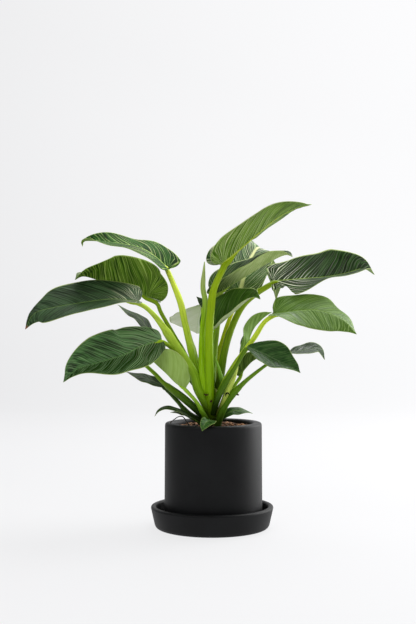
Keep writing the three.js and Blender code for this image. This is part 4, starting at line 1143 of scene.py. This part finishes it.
def stem_profile():
    """Half outline of the stem: a shallow step at each leaf scar, and a slightly domed top."""
    profile = [(0, STEM_FOOT), (STEM_FOOT_RADIUS - 1, STEM_FOOT)]
    for k in range(SCARS):
        f = k / (SCARS - 1)
        r = STEM_FOOT_RADIUS + (STEM_TOP_RADIUS - STEM_FOOT_RADIUS) * f
        z = STEM_FOOT + 3 + (STEM_TOP - STEM_FOOT - 7) * f
        scar = [(r, z), (r - 0.15, z + 1.0), (r - 0.8, z + 2.0), (r - 0.5, z + 4.5)]
        profile += [q for q in scar if q[1] < STEM_TOP]
    return profile + [(STEM_TOP_RADIUS - 2, STEM_TOP), (0, STEM_TOP)]


stem_look = dict(top=(120, 140, 40), low=(84, 84, 30))
stem_material = stalk_material("stem_green", stem_look, 5.0, float(STEM_TOP - STEM_FOOT))
points, faces = lathe(stem_profile(), STEM_X, STEM_Y, STEM_SIDES)
field = [(p[0] - STEM_X, p[1] - STEM_Y, p[2] - STEM_FOOT) for p in points]
add_piece("stem_fine", points, faces, [stem_material], "stem", {"stalk": field})

# ---- leaves


def dressed_blade(leaf, grid, seed):
    """Adds the blade with its two skins and returns its midrib."""
    rail = Rail(leaf["rib"], leaf["face"])
    look = {**PLAIN, **LOOKS[leaf["name"]], "front_side": front_side(rail)}
    length = rough_length(leaf["rib"])
    upper = leaf_material(leaf["name"] + "_upper", look, True, seed, length)
    lower = leaf_material(leaf["name"] + "_lower", look, False, seed, length)
    add_blade(leaf, rail, grid, [upper, lower])
    return rail


for k, row in enumerate(LEAVES):
    leaf = {**COMMON, **row}
    rib = dressed_blade(leaf, LEAF_GRID, 11.0 * k)
    look = {**STALK, **STALKS.get(leaf["name"], {})}
    length = rough_length(leaf["petiole"])
    add_petiole(leaf, rib, look, stalk_material(leaf["name"] + "_petiole", look, 1.7 * k, length), k)

for k, row in enumerate(SMALL_LEAVES):
    leaf = {**COMMON, **row}
    dressed_blade(leaf, SMALL_LEAF_GRID, 300.0 + k)
    line, name = leaf["petiole"], leaf["name"] + "_stalk"
    radii = leaf["radii"]
    points, faces, field = sweep(line, lambda s: along(radii, s), stalk_up(line), SMALL_PETIOLE_GRID)
    material = stalk_material(name, SMALL_STALK, 40.0 + k, rough_length(line))
    add_piece(name, points, faces, [material], None, {"stalk": field})

# ---- shoots without a blade


def rolled_section(angle, s):
    """A sheet rolled round itself: it ends in a small step."""
    return 0.94 + 0.12 * ((angle - 0.6) % (2 * np.pi)) / (2 * np.pi)


for k, shoot in enumerate(SHOOTS):
    name, line, radii = shoot["name"], shoot["line"], shoot["radii"]
    root = name == "rootlet"
    points, faces, field = sweep(
        line, lambda s: along(radii, s), stalk_up(line), SHOOT_GRID, None if root else rolled_section,
    )
    material = stalk_material(name, SHOOT_LOOKS[name], 60.0 + k, rough_length(line))
    add_piece(name + "_fine", points, faces, [material], name, {"stalk": field})

# ---- dry bits at the crown


def bit_radius(thick):
    """Thickest in the middle, with blunt ends."""
    return lambda s: thick * (0.35 + 0.65 * np.sin(np.pi * np.clip(s, 0.08, 0.92)))


dry_skins = {name: stalk_material(name, look, seed, 8.0) for name, (look, seed) in DRY_LOOKS.items()}
for name, line, thick, skin in BITS:
    points, faces, field = sweep(line, bit_radius(thick), (0, -1, 0.3), BIT_GRID)
    add_piece(name, points, faces, [dry_skins[skin]], None, {"stalk": field})

# ---- stage, light, camera


def paper_material():
    """White paper that glows more to the right and up the wall, as if lit from there."""
    n = Nodes("studio_paper")
    place = n.place()
    tone = n.mix(n.noise(place, 3.0, 2.0), PAPER_WHITE, tuple(c + 3 for c in PAPER_WHITE))
    paper = n.surface(tone, 0.9, None, 0.1)
    shader = next(node for node in paper.node_tree.nodes if node.type == "BSDF_PRINCIPLED")
    shader.inputs["Emission Color"].default_value = PAPER_TINT
    x, _, z = n.split(place)
    floor_glow, low_glow, high_glow = WALL_GLOW
    low_z, high_z = WALL_GLOW_HEIGHTS
    low = n.between(z, 0.0, low_z, floor_glow, low_glow)
    high = n.between(z, low_z, high_z, 0.0, high_glow - low_glow)
    glow = n.plus(n.between(x, -PAPER_GLOW_X, PAPER_GLOW_X, *PAPER_GLOW), n.plus(low, high))
    n.tree.links.new(glow, shader.inputs["Emission Strength"])
    return paper


def studio_sheet():
    """Paper sheet: a floor that turns up into a wall."""
    profile = [(-FLOOR_HALF, 0), (WALL_FOOT, 0)]
    for k in range(1, SWEEP_STEPS + 1):
        a = np.pi / 2 * k / SWEEP_STEPS
        profile.append((WALL_FOOT + SWEEP_RADIUS * np.sin(a), SWEEP_RADIUS * (1 - np.cos(a))))
    profile.append((WALL_FOOT + SWEEP_RADIUS, WALL_TOP))
    mesh = bpy.data.meshes.new("studio_sheet")
    mesh.from_pydata(
        [(x, y, z) for y, z in profile for x in (-FLOOR_HALF, FLOOR_HALF)], [],
        [[2 * k, 2 * k + 1, 2 * k + 3, 2 * k + 2] for k in range(len(profile) - 1)],
    )
    mesh.polygons.foreach_set("use_smooth", np.ones(len(mesh.polygons), bool))
    mesh.materials.append(paper_material())
    sheet = bpy.data.objects.new("studio_sheet", mesh)
    bpy.context.scene.collection.objects.link(sheet)
    return sheet


def softbox(name, place, target, size, watts):
    light = bpy.data.lights.new(name, "AREA")
    light.shape = "RECTANGLE"
    light.size, light.size_y = size
    light.energy = watts
    lamp = bpy.data.objects.new(name, light)
    bpy.context.scene.collection.objects.link(lamp)
    back = unit(np.array(place, float) - np.array(target, float))
    side = unit(np.cross((0, 0, 1), back))
    up = np.cross(back, side)
    lamp.matrix_world = Matrix([(*c,) for c in zip(side, up, back, place)] + [(0, 0, 0, 1)])
    lamp.visible_glossy = name != NO_GLARE


studio_sheet()
for name, light in LIGHTS.items():
    softbox(name, *light)

world = bpy.data.worlds.new("studio")
world.use_nodes = True
bpy.context.scene.world = world
world.node_tree.nodes["Background"].inputs[0].default_value = ROOM_COLOUR
world.node_tree.nodes["Background"].inputs[1].default_value = ROOM_STRENGTH

camera = bpy.data.cameras.new("camera")
camera.sensor_width = SENSOR
camera.lens = FOCAL_PIXELS * SENSOR / PICTURE_HEIGHT
camera.clip_start, camera.clip_end = 0.05, 30
eye = bpy.data.objects.new("camera", camera)
bpy.context.scene.collection.objects.link(eye)
eye.location = [c * MM for c in CAMERA_PLACE]
eye.rotation_euler = (np.radians(90 + CAMERA_PITCH_UP), 0, 0)
bpy.context.scene.camera = eye
bpy.context.scene.view_settings.view_transform = "Standard"
bpy.context.scene.view_settings.look = "None"
